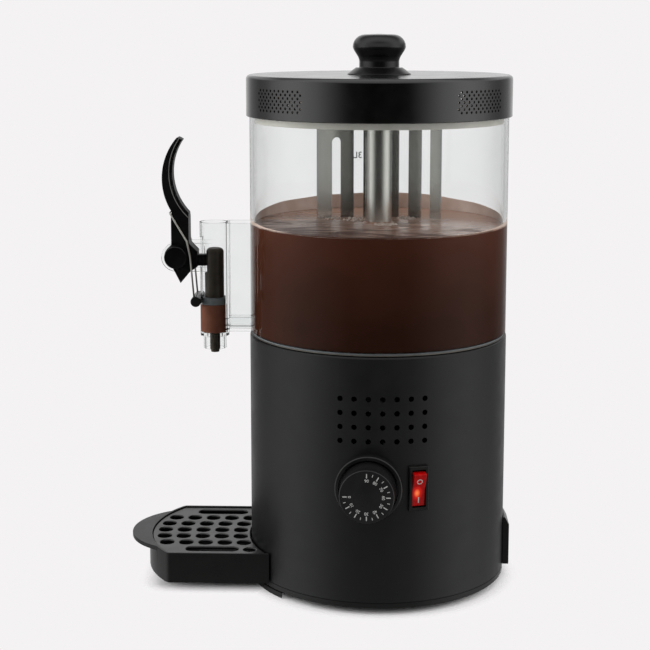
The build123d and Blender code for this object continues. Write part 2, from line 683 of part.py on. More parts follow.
# Tap lever: a curved handle, a boss on the pin and a nose that lifts the piston
lever_half_width = tap_radius - ear_thickness - 0.8
nose_x = tap_x - pivot_x - 1.0
nose_z = -3.0
nose_radius = 4.0
handle_root = (-2.5, 31.9)
handle_tip = (1.7, 85.7)
handle_tip_inner = (5.5, 84.1)
handle_inner_root = (9.3, 31.5)
handle_inner_mid = (-2.0, 63.4)
lever_outline = ThreePointArc(handle_root, (-9.5, 56.4), handle_tip) + Line(handle_tip, handle_tip_inner)
lever_outline += ThreePointArc(handle_tip_inner, handle_inner_mid, handle_inner_root)
lever_outline += Polyline(handle_inner_root, (9.3, 10), (15.2, 3.9), (15.2, -7.4), (10.1, -10.8),
                          (3.0, -19.3), (-2.3, -8.7), (-3.4, -6), (-3.4, 31), handle_root)
tap_lever = extrude(Plane.XZ * make_face(lever_outline), amount=lever_half_width, both=True)
inner_edges = []
for side in (-1, 1):
    inner_edges.append(tap_lever.edges().sort_by_distance(
        (handle_inner_mid[0], side * lever_half_width, handle_inner_mid[1]))[0])
tap_lever = chamfer(inner_edges, 2.2)
tap_lever += bar_along_y(8.5, -lever_half_width, lever_half_width, 0, 0)
tap_lever += block(12, nose_x, -nose_half_width, nose_half_width, nose_z - nose_radius, nose_z + nose_radius)
tap_lever += bar_along_y(nose_radius, -nose_half_width, nose_half_width, nose_x, nose_z)
tap_lever -= bar_along_y(pin_radius + running, -lever_half_width - 1, lever_half_width + 1, 0, 0)
tap_lever = Pos(pivot_x, 0, pivot_z) * tap_lever
tap_lever -= bar_along_y(spring_wire + gap, -lever_half_width - 1, lever_half_width + 1, catch_x, catch_z)

# Piston with its seal, rod and valve tip; the lever nose sits in its notch
piston_radius = 6.9
piston_low = body_top + 24.2
piston_top = body_top + 60
seal_low = body_top + 19.2
rod_radius = 2.6
valve_low = tap_floor + gap
piston_side = [(0, piston_low), (piston_radius, piston_low), (piston_radius, piston_top), (0, piston_top)]
tap_piston = turned(piston_side, [((piston_radius, piston_top), 3)], tap_x)
tap_piston += disc(rod_radius, valve_low, piston_low, tap_x)
tap_piston += disc(6.5, valve_low, valve_low + 2.4, tap_x)
tap_piston += disc(3.7, tap_low - 10.3, valve_low, tap_x)
tap_piston += disc(3.05, tap_low - 12.5, tap_low - 10.3, tap_x)
notch = slab([(5, 4.5), (5, -4.5), (0.5, -5), (-9, -11.6), (-9, 4.5)], nose_half_width + 0.5)
tap_piston -= Pos(pivot_x + nose_x, 0, pivot_z + nose_z) * notch
piston_seal = ring(tap_bore - 2 * running, rod_radius, seal_low, piston_low, tap_x)

# Drip tray with its finger lip, and the grid that lies in it
tray_wall = 2.0
ledge = 25.5
tray_floor = tray_low + 2.5
lip_radius = 47.5
tray_rear = body_radius + tray_body_gap
drip_tray = Pos(0, 0, tray_low) * extrude(tray_outline(0, tray_rear), amount=tray_top - tray_low)
front_corners = []
for side in (-1, 1):
    corner_x = tray_centre_x - math.sqrt(tray_front_radius ** 2 - tray_half_width ** 2)
    front_corners.append(drip_tray.edges().sort_by_distance(
        (corner_x, side * tray_half_width, (tray_low + tray_top) / 2))[0])
drip_tray = fillet(front_corners, 5)
lip_x = -body_radius - tray_reach - 13 + lip_radius
drip_tray += disc(lip_radius, tray_top - 3, tray_top, lip_x) - disc(tray_rear + 20, 0, tray_top + 1)
tray_pocket = tray_outline(tray_wall + 1.8, tray_rear + 2)
drip_tray -= Pos(0, 0, tray_floor) * extrude(tray_pocket, amount=tray_top)
drip_tray -= Pos(0, 0, ledge) * extrude(tray_outline(tray_wall, tray_rear - 1), amount=tray_top)

grid_low = ledge + gap
grid_top = 28.1
grid_hole = 5.15
grid_pitch = 14.0
grid_plan = tray_outline(tray_wall + gap, body_radius + 1.1)
drip_grid = Pos(0, 0, grid_low) * extrude(grid_plan, amount=grid_top - grid_low)
grid_holes = []
for row, shift in ((0, 0.0), (1, 1.0), (2, 4.6)):
    for side in (-1, 1):
        if row == 0 and side == 1:
            continue
        for column in range(5):
            hole_x = shift - body_radius - 8.3 - grid_pitch * column
            grid_holes.append(disc(grid_hole, grid_low - 1, grid_top + 1, hole_x, side * row * grid_pitch))
for side in (-1, 1):
    slot_place = Pos(-body_radius - 25.5, 3 * side * grid_pitch, grid_low - 1)
    grid_holes.append(slot_place * extrude(SlotOverall(38, 9.5), amount=5))
    grid_holes.append(disc(4.4, grid_low - 1, grid_top + 1, 1.5 - body_radius, side * (3 * grid_pitch + 1)))
drip_grid -= grid_holes

save("base_plate", base_plate)
save("rear_feet", rear_feet)
save("tray_bracket", tray_bracket)
save("bracket_screws", bracket_screws)
save("base_screws", base_screws)
save("housing_shell", housing_shell)
save("thermostat_body", thermostat_body)
save("thermostat_screws", thermostat_screws)
save("dial_bezel", dial_bezel)
save("dial_knob", dial_knob)
save("dial_spindle", dial_spindle)
save("switch_housing", switch_housing)
save("switch_tabs", switch_tabs)
save("switch_rocker", switch_rocker)
save("inlet_cover", inlet_cover)
save("inlet_socket", inlet_socket)
save("inlet_pins", inlet_pins)
save("heater_tray", heater_tray)
save("heater_plate", heater_plate)
save("heat_insulation", heat_insulation)
save("heating_element", heating_element)
save("thermal_cutout", thermal_cutout)
save("thermostat_bulb", thermostat_bulb)
save("gearbox_cover", gearbox_cover)
save("gearbox_housing", gearbox_housing)
save("gearbox_standoffs", gearbox_standoffs)
save("gearbox_screws", gearbox_screws)
save("shaft_bushes", shaft_bushes)
save("motor_housing", motor_housing)
save("motor_stator", motor_stator)
save("motor_rotor", motor_rotor)
save("motor_pinion", motor_pinion)
save("drive_gear", drive_gear)
save("drive_shaft", drive_shaft)
save("terminal_block", terminal_block)
save("wiring_loom", wiring_loom)
save("bowl_floor", bowl_floor)
save("bowl_gasket", bowl_gasket)
save("bowl_cylinder", bowl_cylinder)
save("column_tube", column_tube)
save("column_bush", column_bush)
save("stirrer_hub", stirrer_hub)
save("stirrer_blade", stirrer_blade)
save("lid_shell", lid_shell)
save("lid_collar", lid_collar)
save("lid_knob", lid_knob)
save("knob_screw", knob_screw)
save("tap_body", tap_body)
save("lever_pin", lever_pin)
save("pin_cap", pin_cap)
save("spring_anchor", spring_anchor)
save("lever_spring", lever_spring)
save("tap_lever", tap_lever)
save("tap_piston", tap_piston)
save("piston_seal", piston_seal)
save("drip_tray", drip_tray)
save("drip_grid", drip_grid)
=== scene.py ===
# %% [markdown]
# A hot chocolate dispenser in Blender.
# The machine stands on a buffet: a black drum holds the heater and the stirrer motor, a clear bowl
# holds the drink, and a lever opens the tap above a drip tray.
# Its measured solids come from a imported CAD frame. That frame is loaded first and is never moved.
# Each step below adds the shapes, edges and finishes that make the solids look like the real thing.

# %% Load the frame
import json
import math
import bmesh
import bpy
from mathutils import Matrix, Vector


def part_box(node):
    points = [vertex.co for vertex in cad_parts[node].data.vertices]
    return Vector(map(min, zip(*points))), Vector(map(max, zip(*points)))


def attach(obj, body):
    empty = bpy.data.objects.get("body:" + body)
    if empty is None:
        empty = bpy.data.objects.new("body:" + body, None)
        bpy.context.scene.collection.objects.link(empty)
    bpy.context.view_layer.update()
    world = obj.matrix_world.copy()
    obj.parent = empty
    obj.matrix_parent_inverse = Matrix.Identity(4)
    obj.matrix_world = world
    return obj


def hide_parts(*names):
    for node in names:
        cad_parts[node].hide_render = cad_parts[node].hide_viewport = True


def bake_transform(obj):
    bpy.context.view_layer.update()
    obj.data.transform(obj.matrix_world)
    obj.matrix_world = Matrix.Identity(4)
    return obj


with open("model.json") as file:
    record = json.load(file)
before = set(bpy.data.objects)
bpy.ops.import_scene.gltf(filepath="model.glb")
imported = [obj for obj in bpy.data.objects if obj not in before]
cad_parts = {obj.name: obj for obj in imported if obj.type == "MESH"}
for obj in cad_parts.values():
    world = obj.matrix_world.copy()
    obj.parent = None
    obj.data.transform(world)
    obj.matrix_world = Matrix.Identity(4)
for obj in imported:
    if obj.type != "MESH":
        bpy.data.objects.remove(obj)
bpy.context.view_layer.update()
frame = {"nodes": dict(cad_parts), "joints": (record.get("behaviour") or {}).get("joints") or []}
mm = 0.001
nodes = frame["nodes"]
joints = {joint["name"]: joint for joint in frame["joints"]}

# %% [markdown]
# The camera stands about a metre in front of the machine, level with the knob on the lid, and has a
# short telephoto lens. It looks slightly down and slightly to the left, so that tap and tray fill the
# left half of the picture. A small downward shift keeps the upright edges close to parallel.

# %% Camera
scene = bpy.context.scene
scene.view_settings.view_transform = "Standard"
camera_place = (-0.0046, -1.093, 0.4004)
looking_down = 8.79
looking_left = 1.77
lens = bpy.data.cameras.new("camera")
lens.sensor_width = 36
lens.lens = 84.9
lens.shift_y = -0.1
camera = bpy.data.objects.new("camera", lens)
camera.location = camera_place
camera.rotation_euler = (math.radians(90 - looking_down), 0, math.radians(looking_left))
scene.collection.objects.link(camera)
scene.camera = camera
print("camera at", camera_place)

# %% [markdown]
# Colours are easier to judge as the 0 to 255 numbers of a colour picker than as the linear numbers
# that Blender's shaders use. This helper turns one into the other.

# %% Colours
def tone(red, green, blue):
    """Linear colour from 0 to 255 colour picker numbers."""
    linear = []
    for value in (red, green, blue):
        share = value / 255
        linear.append(share / 12.92 if share <= 0.04045 else ((share + 0.055) / 1.055) ** 2.4)
    return tuple(linear)


studio_white = tone(244, 242, 243)
print("studio white is", tuple(round(value, 3) for value in studio_white))

# %% [markdown]
# The world, the floor and some finishes work out a number or a colour with chains of nodes. Each
# helper here writes one node and gives back its output, so that a chain reads like a formula.

# %% Node helpers
def feed(tree, socket, source):
    """Feed an input with a node's output or with a plain value."""
    if isinstance(source, bpy.types.NodeSocket):
        tree.links.new(source, socket)
    else:
        socket.default_value = source


def number_math(tree, operation, first, second=0):
    """A sum, product or comparison of numbers."""
    node = tree.nodes.new("ShaderNodeMath")
    node.operation = operation
    feed(tree, node.inputs[0], first)
    feed(tree, node.inputs[1], second)
    return node.outputs["Value"]


def vector_math(tree, operation, first, second=(0, 0, 0)):
    """A sum or product of vectors; a length or a dot product comes out as a number."""
    node = tree.nodes.new("ShaderNodeVectorMath")
    node.operation = operation
    feed(tree, node.inputs[0], first)
    feed(tree, node.inputs[1], second)
    return node.outputs["Value" if operation in ("LENGTH", "DOT_PRODUCT") else "Vector"]


def map_range(tree, source, before, after=(0, 1), course="LINEAR"):
    """A number moved from one range to another."""
    node = tree.nodes.new("ShaderNodeMapRange")
    node.interpolation_type = course
    for socket, value in zip(node.inputs, (source, *before, *after)):
        feed(tree, socket, value)
    return node.outputs["Result"]


def mix_colours(tree, blend_type, factor, first, second):
    """A mix or product of two colours."""
    node = tree.nodes.new("ShaderNodeMix")
    node.data_type = "RGBA"
    node.blend_type = blend_type
    feed(tree, node.inputs["Factor"], factor)
    feed(tree, node.inputs["A"], first)
    feed(tree, node.inputs["B"], second)
    return node.outputs["Result"]


# %% [markdown]
# A product studio has a dark room behind the camera, large bright panels at the sides and a backdrop.
# A world can hold all that polished and painted surfaces mirror of it, because it knows the direction
# of each ray. From front to back it is dark, bright at both sides, dim and bright again. It is bright
# low overhead and dark straight up. Below the horizon lies a band of pale table top, and steeply
# below it gets dark, where the machine shades the table. Each of these is a ramp of grey levels.

# %% World by direction
world = bpy.data.worlds.new("studio")
world.use_nodes = True
scene.world = world
sky_tree = world.node_tree
heading = sky_tree.nodes.new("ShaderNodeTexCoord")
direction = sky_tree.nodes.new("ShaderNodeSeparateXYZ")
sky_tree.links.new(heading.outputs["Generated"], direction.inputs["Vector"])


def grey_ramp(source, stops):
    """A ramp of grey levels over a number from 0 to 1."""
    node = sky_tree.nodes.new("ShaderNodeValToRGB")
    elements = node.color_ramp.elements
    elements[0].position = stops[0][0]
    elements[1].position = stops[-1][0]
    for position, level in stops[1:-1]:
        elements.new(position)
    for element, (position, level) in zip(elements, stops):
        element.color = (level, level, level, 1)
    sky_tree.links.new(source, node.inputs["Fac"])
    return node.outputs["Color"]


from_front_to_back = (
    (0.0, 0.008), (0.05, 0.03), (0.12, 0.36), (0.21, 0.8), (0.35, 1.1), (0.45, 1.05), (0.58, 0.75),
    (0.68, 0.36), (0.78, 0.22), (0.9, 0.36), (1.0, 0.95),
)
from_level_to_top = ((0.08, 0.0), (0.32, 0.8), (0.5, 0.75), (0.7, 0.12), (1.0, 0.1))
from_floor_to_level = ((0.1, 0.03), (0.2, 0.3), (0.29, 0.7), (0.355, 0.0))
shade_from_below = ((0.12, 0.1), (0.3, 1.0))
from_front = map_range(sky_tree, direction.outputs["Y"], (-1, 1))
from_floor = map_range(sky_tree, direction.outputs["Z"], (-1, 1))
room = grey_ramp(from_front, from_front_to_back)
overhead = grey_ramp(direction.outputs["Z"], from_level_to_top)
table = grey_ramp(from_floor, from_floor_to_level)
shade = grey_ramp(from_floor, shade_from_below)
print("world ramps over", len(from_front_to_back), "levels from front to back")

# %% [markdown]
# The world answers each kind of ray in its own way. What the camera sees, also through clear plastic,
# is plain white. What a surface mirrors is the room of the last step. The even light that fills the
# shadows is grey. Counting a ray's reflections matters for the bowl: a steel bar inside it mirrors
# the same room as a bar outside. Only the clear plastic mirrors perfectly sharply, and its mirror
# image is dimmed, because it would lie on the dark drink like a grey veil. A backdrop mesh would do
# too, but it would be in the way of cameras on the other sides.

# %% World by kind of ray
fill_level = 0.42
sharp_dimming = 0.6
less_than_once = 0.5
ray = sky_tree.nodes.new("ShaderNodeLightPath").outputs


def sky_math(operation, first, second):
    """A math node of the world."""
    return number_math(sky_tree, operation, first, second)


shaded_room = sky_math("MULTIPLY", sky_math("MAXIMUM", room, overhead), shade)
sharp_mirror = sky_math("MULTIPLY", ray["Is Singular Ray"], ray["Is Reflection Ray"])
clear_dim = sky_math("SUBTRACT", 1, sky_math("MULTIPLY", sharp_mirror, sharp_dimming))
around = sky_math("MULTIPLY", sky_math("MAXIMUM", shaded_room, table), clear_dim)
unscattered = sky_math("LESS_THAN", ray["Diffuse Depth"], less_than_once)
mirrored = mix_colours(sky_tree, "MIX", unscattered, (fill_level, fill_level, fill_level, 1), around)
looking = sky_math("MAXIMUM", ray["Is Camera Ray"], ray["Is Transmission Ray"])
bounces = sky_math("ADD", ray["Diffuse Depth"], ray["Glossy Depth"])
straight = sky_math("MULTIPLY", looking, sky_math("LESS_THAN", bounces, less_than_once))
shown_sky = mix_colours(sky_tree, "MIX", straight, mirrored, (*studio_white, 1))
sky_tree.links.new(shown_sky, sky_tree.nodes["Background"].inputs["Color"])
print("world:", len(sky_tree.nodes), "nodes, fill light", fill_level)

# %% [markdown]
# Two tall softboxes left and right of the machine light the sides of the drink and the floor, and a
# wide box overhead lights the lid, the top of the drink and the tray. The bright bands that glossy
# surfaces mirror are already in the world, so mirrored rays don't see the lamps.

# %% Softboxes
def softbox(name, place, width, height, power):
    """A rectangular area lamp that faces the middle of the machine."""
    lamp = bpy.data.lights.new(name, "AREA")
    lamp.shape = "RECTANGLE"
    lamp.size = width
    lamp.size_y = height
    lamp.energy = power
    holder = bpy.data.objects.new(name, lamp)
    holder.location = place
    facing = Vector(machine_middle) - Vector(place)
    holder.rotation_euler = facing.to_track_quat("-Z", "Y").to_euler()
    holder.visible_glossy = False
    holder.visible_transmission = False
    scene.collection.objects.link(holder)


machine_middle = (0, 0, 0.2)
softbox("softbox_left", (-1.5, 0.08, 0.45), width=1.1, height=1.5, power=24)
softbox("softbox_right", (1.5, 0.08, 0.45), width=1.1, height=1.5, power=15.5)
softbox("softbox_top", (0, 0.1, 1.7), width=1.6, height=1.2, power=11)

# %% [markdown]
# The floor is a pale round sheet just under the feet. It keeps the soft contact shadow that shows
# the machine standing on it.

# %% Floor sheet
floor_radius = 0.4
floor_drop = 0.0002
floor_form = bmesh.new()
bmesh.ops.create_circle(floor_form, cap_ends=True, segments=96, radius=floor_radius)
bmesh.ops.translate(floor_form, verts=floor_form.verts, vec=(0, 0, -floor_drop))
floor_mesh = bpy.data.meshes.new("floor")
floor_form.to_mesh(floor_mesh)
floor_form.free()
floor = bpy.data.objects.new("floor", floor_mesh)
scene.collection.objects.link(floor)
print("floor: radius", floor_radius, "m")

# %% [markdown]
# The sheet starts to fade a little inside the outlines of the drum and the tray and is gone about two
# centimetres further out, so that it runs into the white of the world without a line. The distance
# is measured from the drum and from the tray, and the nearer of the two counts. From below the sheet
# is clear, so that it doesn't hide the underside.

# %% Floor paper
under_drum = 0.083
tray_middle = (-0.09, 0, 0)
under_tray = (0.062, 0.036, 1)
fade_length = 0.022
floor_paint = bpy.data.materials.new("floor_paper")
floor_paint.use_nodes = True
tree = floor_paint.node_tree
paper = tree.nodes["Principled BSDF"]
paper.inputs["Roughness"].default_value = 0.9
paper.inputs["Specular IOR Level"].default_value = 0.1
paper.inputs["Base Color"].default_value = (*tone(246, 245, 245), 1)
spot = tree.nodes.new("ShaderNodeTexCoord").outputs["Object"]
from_tray = vector_math(tree, "ABSOLUTE", vector_math(tree, "SUBTRACT", spot, tray_middle))
beyond_tray = vector_math(tree, "MAXIMUM", vector_math(tree, "SUBTRACT", from_tray, under_tray))
tray_distance = vector_math(tree, "LENGTH", beyond_tray)
drum_distance = number_math(tree, "SUBTRACT", vector_math(tree, "LENGTH", spot), under_drum)
nearest = number_math(tree, "MINIMUM", drum_distance, tray_distance)
fade = map_range(tree, nearest, (0, fade_length), course="SMOOTHSTEP")
from_below = tree.nodes.new("ShaderNodeNewGeometry").outputs["Backfacing"]
unseen = number_math(tree, "MAXIMUM", fade, from_below)
clear = tree.nodes.new("ShaderNodeBsdfTransparent")
melt = tree.nodes.new("ShaderNodeMixShader")
tree.links.new(unseen, melt.inputs["Fac"])
tree.links.new(paper.outputs["BSDF"], melt.inputs[1])
tree.links.new(clear.outputs["BSDF"], melt.inputs[2])
tree.links.new(melt.outputs["Shader"], tree.nodes["Material Output"].inputs["Surface"])
floor_mesh.materials.append(floor_paint)
print("floor fades over", fade_length, "m")

# %% [markdown]
# Nearly every finish on the machine is the same recipe with other numbers: a colour that drifts a
# little from patch to patch, a roughness that drifts with it, and a fine grain in the surface. One
# function writes that recipe as shader nodes. Patches that are stretched in one direction become the
# drawn lines of brushed steel. A second function darkens a finish along one direction.

# %% Finish recipe
finishes = {}
usual_noise = (0.3, 0.7)
grain_height = 0.0002


def finish(slot, name, dark, light, patch, roughness, grain, relief, stretch=(1, 1, 1), specular=0.5,
           metallic=0.0, sockets=None):
    """A material whose colour and roughness drift over patches, with a fine raised grain."""
    material = bpy.data.materials.new(name)
    material.use_nodes = True
    finishes[slot] = material
    tree = material.node_tree
    shader = tree.nodes["Principled BSDF"]
    shader.inputs["Specular IOR Level"].default_value = specular
    shader.inputs["Metallic"].default_value = metallic
    spot = tree.nodes.new("ShaderNodeTexCoord")
    turn = tree.nodes.new("ShaderNodeMapping")
    turn.inputs["Scale"].default_value = stretch
    tree.links.new(spot.outputs["Object"], turn.inputs["Vector"])
    drift = tree.nodes.new("ShaderNodeTexNoise")
    drift.inputs["Scale"].default_value = 1 / patch
    drift.inputs["Detail"].default_value = 4
    tree.links.new(turn.outputs["Vector"], drift.inputs["Vector"])
    colour = tree.nodes.new("ShaderNodeValToRGB")
    for element, position, shade in zip(colour.color_ramp.elements, usual_noise, (dark, light)):
        element.position = position
        element.color = (*shade, 1)
    tree.links.new(drift.outputs["Fac"], colour.inputs["Fac"])
    tree.links.new(colour.outputs["Color"], shader.inputs["Base Color"])
    gloss = map_range(tree, drift.outputs["Fac"], usual_noise, roughness)
    tree.links.new(gloss, shader.inputs["Roughness"])
    speckle = tree.nodes.new("ShaderNodeTexNoise")
    speckle.inputs["Scale"].default_value = 1 / grain
    speckle.inputs["Detail"].default_value = 2
    tree.links.new(turn.outputs["Vector"], speckle.inputs["Vector"])
    raised = tree.nodes.new("ShaderNodeBump")
    raised.inputs["Strength"].default_value = relief
    raised.inputs["Distance"].default_value = grain_height
    tree.links.new(speckle.outputs["Fac"], raised.inputs["Height"])
    tree.links.new(raised.outputs["Normal"], shader.inputs["Normal"])
    for socket, value in (sockets or {}).items():
        shader.inputs[socket].default_value = value


def shade_along(material, axis, near, far, darkest):
    """Darken a finish by a ramp over the distance from the middle along one axis, in metres."""
    tree = material.node_tree
    split = tree.nodes.new("ShaderNodeSeparateXYZ")
    tree.links.new(tree.nodes["Texture Coordinate"].outputs["Object"], split.inputs["Vector"])
    away = number_math(tree, "ABSOLUTE", split.outputs[axis])
    level = map_range(tree, away, (near, far), (darkest, 1))
    shaded = mix_colours(tree, "MULTIPLY", 1, tree.nodes["Color Ramp"].outputs["Color"], level)
    tree.links.new(shaded, tree.nodes["Principled BSDF"].inputs["Base Color"])


# %% [markdown]
# The shapes come next. Most visible pieces are turned, so the main tool spins a half outline round
# the upright axis. Corners are rounded on the outline before it is spun, which costs few faces and
# gives clean rings.

# %% Turned shapes
def spun(outline, rounds=(), steps=192, closed=True):
    """Spin (radius, height) points in millimetres; rounds lists (corner number, radius)."""
    form = bmesh.new()
    corners = [form.verts.new((radius * mm, 0, height * mm)) for radius, height in outline]
    for first, second in zip(corners, corners[1:]):
        form.edges.new((first, second))
    if closed:
        form.edges.new((corners[-1], corners[0]))
    for number, radius in rounds:
        corner = corners[number]
        ends = [edge.other_vert(corner).co - corner.co for edge in corner.link_edges]
        setback = radius * mm / math.tan(ends[0].angle(ends[1]) / 2)
        bmesh.ops.bevel(form, geom=[corner], offset=setback, segments=6, profile=0.5,
                        affect="VERTICES", material=-1)
    bmesh.ops.spin(form, geom=form.verts[:] + form.edges[:], cent=(0, 0, 0), axis=(0, 0, 1),
                   angle=math.tau, steps=steps, use_merge=True)
    bmesh.ops.remove_doubles(form, verts=form.verts, dist=0.000001)
    bmesh.ops.recalc_face_normals(form, faces=form.faces)
    return form


# %% [markdown]
# A second set of tools takes a copy of a CAD node, joins its triangles into whole faces and rounds
# its edges. No moulded edge is perfectly sharp, and it is the round that catches the light. An edge
# can also be cut with a narrow flat that shows a second finish.

# %% Copies of CAD pieces
def cad_copy(node):
    """A merged copy of a CAD node's mesh."""
    form = bmesh.new()
    form.from_mesh(nodes[node].data)
    bmesh.ops.remove_doubles(form, verts=form.verts, dist=0.000003)
    bmesh.ops.dissolve_limit(form, angle_limit=math.radians(0.5), verts=form.verts, edges=form.edges)
    return form


def sharp_edges(form, degrees):
    """The edges where a form bends by more than an angle."""
    edges = []
    for edge in form.edges:
        if edge.is_manifold and edge.calc_face_angle() > math.radians(degrees):
            edges.append(edge)
    return edges


def soften(form, width, segments=2):
    """Round every sharp edge."""
    bmesh.ops.bevel(form, geom=sharp_edges(form, degrees=40), offset=width * mm, segments=segments,
                    profile=0.5, affect="EDGES", clamp_overlap=False, material=-1)
    return form


def cut_flats(form, edges, width, clamp_overlap):
    """Cut a flat along edges and give the flats the second material of the piece."""
    flats = bmesh.ops.bevel(form, geom=edges, offset=width * mm, segments=1, profile=0.5,
                            affect="EDGES", clamp_overlap=clamp_overlap, material=-1)["faces"]
    for face in flats:
        face.material_index = 1
    print("flats cut:", len(flats))


# %% [markdown]
# A third tool cuts one form out of another with a boolean modifier. The modifier needs two objects,
# which are removed again once its result has been taken.

# %% Cutting holes
def as_mesh(form, name):
    """Close a form into mesh data."""
    mesh = bpy.data.meshes.new(name)
    form.to_mesh(mesh)
    form.free()
    return mesh


def carve(form, cutter):
    """Cut one form out of another and give back the result."""
    blank = bpy.data.objects.new("blank", as_mesh(form, "blank"))
    tool = bpy.data.objects.new("tool", as_mesh(cutter, "tool"))
    scene.collection.objects.link(blank)
    scene.collection.objects.link(tool)
    cut = blank.modifiers.new("cut", "BOOLEAN")
    cut.operation = "DIFFERENCE"
    cut.solver = "EXACT"
    cut.object = tool
    bpy.context.view_layer.update()
    mesh = bpy.data.meshes.new_from_object(blank.evaluated_get(bpy.context.evaluated_depsgraph_get()))
    bpy.data.objects.remove(blank)
    bpy.data.objects.remove(tool)
    result = bmesh.new()
    result.from_mesh(mesh)
    bpy.data.meshes.remove(mesh)
    return result


# %% [markdown]
# A finished form becomes a visible piece: it gets a finish, rides on the body that it moves with and
# stands for the CAD nodes that it replaces. Every piece gets weighted normals: large flat faces then
# shade as flat, and the narrow rounds beside them carry the bend.


def shown(form, name, body, slot, *replaced, sharp=35, look=None):
    """Make a form a visible piece that rides on a body and stands for CAD nodes."""
    mesh = as_mesh(form, name)
    mesh.shade_smooth()
    mesh.set_sharp_from_angle(angle=math.radians(sharp))
    mesh.materials.append(finishes[look or slot])
    piece = bpy.data.objects.new(name, mesh)
    scene.collection.objects.link(piece)
    flats = piece.modifiers.new("flats", "WEIGHTED_NORMAL")
    flats.keep_sharp = True
    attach(piece, body)
    if replaced:
        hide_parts(*replaced)
    print(name, "has", len(mesh.polygons), "faces and rides on", body)
    return piece


def rounded(node, name, body, slot, width, segments=2, look=None):
    """Show a copy of a CAD node with its edges rounded."""
    return shown(soften(cad_copy(node), width, segments), name, body, slot, node, look=look)


# %% [markdown]
# The drum wall carries the vents, the dial and the switch. A place on it is given by an angle from
# the front and a height. The matrix made here has its z axis pointing out of the wall and its y axis
# up, so a piece can be drawn flat and then stood on the wall.

# %% Places on a round wall
def wall_place(angle, height, radius):
    """Matrix of a place on an upright round wall; angle in radians from -Y toward +X."""
    sideways = Vector((math.cos(angle), math.sin(angle), 0))
    outward = Vector((math.sin(angle), -math.cos(angle), 0))
    place = Matrix((sideways, Vector((0, 0, 1)), outward)).transposed().to_4x4()
    place.translation = outward * radius + Vector((0, 0, height))
    return place


def add_peg(form, place, radius, depth, sides):
    """Add a round peg whose axis is the place's z axis."""
    bmesh.ops.create_cone(form, cap_ends=True, segments=sides, radius1=radius * mm, radius2=radius * mm,
                          depth=depth * mm, matrix=place)


def add_brick(form, place, width, height, depth):
    """Add a box centred on a place."""
    size = Matrix.Diagonal((width * mm, height * mm, depth * mm, 1))
    bmesh.ops.create_cube(form, size=1, matrix=place @ size)


def joint_place(name):
    """Matrix of the place on the drum wall that a joint turns at."""
    spot = joints[name]["pos_m"]
    return wall_place(math.atan2(spot[0], -spot[1]), spot[2], drum_radius)


drum_low, drum_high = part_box("housing_shell")
drum_radius = drum_high.x
dial_place = joint_place("dial_turn")
switch_place = joint_place("rocker_tip")
print("drum radius", round(drum_radius, 4), "dial at", [round(v, 4) for v in dial_place.translation])

# %% [markdown]
# The drum is rolled sheet steel with a satin powder coat. The coat is not quite even: it has the
# faint orange peel of baked powder and small changes of gloss. The vents and the openings for the
# dial, the switch and the inlet are cut through the spun wall.

# %% Drum
finish("black_paint", "satin_powder_coat", tone(7, 7, 8), tone(11, 11, 12), patch=0.012,
       roughness=(0.36, 0.44), grain=0.0006, relief=0.06, specular=0.4)
drum_wall = 1.2
drum_r = drum_radius / mm
drum_top = drum_high.z / mm
drum_foot = drum_low.z / mm
rim_inner = drum_r - 8.5
drum = spun([
    (drum_r - drum_wall, drum_foot), (drum_r, drum_foot), (drum_r, drum_top), (rim_inner, drum_top),
    (rim_inner, drum_top - drum_wall), (drum_r - drum_wall, drum_top - drum_wall),
], rounds=[(1, 0.6), (2, 2.0)], steps=256)
openings = bmesh.new()
vent_columns = 7
vent_rows = 4
vent_pitch = 9.7
vent_top = drum_top - 29
vent_middle = 3.2
for column in range(vent_columns):
    for row in range(vent_rows):
        angle = (vent_middle + vent_pitch * (column - (vent_columns - 1) / 2)) / drum_r
        vent = wall_place(angle, (vent_top - vent_pitch * row) * mm, drum_radius)
        add_peg(openings, vent, radius=1.9, depth=8, sides=20)
add_peg(openings, dial_place, radius=5, depth=12, sides=24)
add_brick(openings, switch_place, width=12.2, height=29.4, depth=20)
socket_low, socket_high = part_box("inlet_socket")
socket_place = Matrix.Translation((socket_low + socket_high) / 2)
add_brick(openings, socket_place, width=60, height=20.4, depth=27.4)
shown(carve(drum, openings), "drum_wall", "base", "black_paint", "housing_shell")

# %% [markdown]
# Under the drum sits a moulded base plate, and the bracket of the drip tray is screwed below it.
# Moulded black plastic is a little lighter and glossier than the powder coat. Rubber feet keep the
# machine from sliding.

# %% Base plate, bracket and feet
finish("black_plastic", "moulded_black_plastic", tone(18, 18, 18), tone(23, 23, 22), patch=0.01,
       roughness=(0.26, 0.34), grain=0.0004, relief=0.03, specular=0.25)
plate_low, plate_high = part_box("base_plate")
plate_edge = plate_low.z / mm
plate_top = plate_high.z / mm
plate_floor = plate_edge + 1.5
skirt_inner = drum_r - 3.5
base_plate = spun([
    (0, plate_floor), (skirt_inner, plate_floor), (skirt_inner, plate_edge), (drum_r, plate_edge),
    (drum_r, plate_top), (0, plate_top),
], rounds=[(3, 0.8), (2, 0.6)], closed=False)
shown(base_plate, "base_plate_moulding", "base", "black_plastic", "base_plate")
rounded("tray_bracket", "tray_bracket_moulding", "base", "black_plastic", width=0.4)
finish("foot_rubber", "foot_rubber", tone(24, 24, 24), tone(34, 34, 33), patch=0.004,
       roughness=(0.7, 0.85), grain=0.0005, relief=0.2)
rounded("rear_feet", "rubber_feet", "base", "foot_rubber", width=0.8, segments=3)

# %% [markdown]
# The thermostat dial is a plain round knob. It sits in a shallow round bezel. Both are spun flat and
# then stood on the wall with the matrix of the dial's joint.

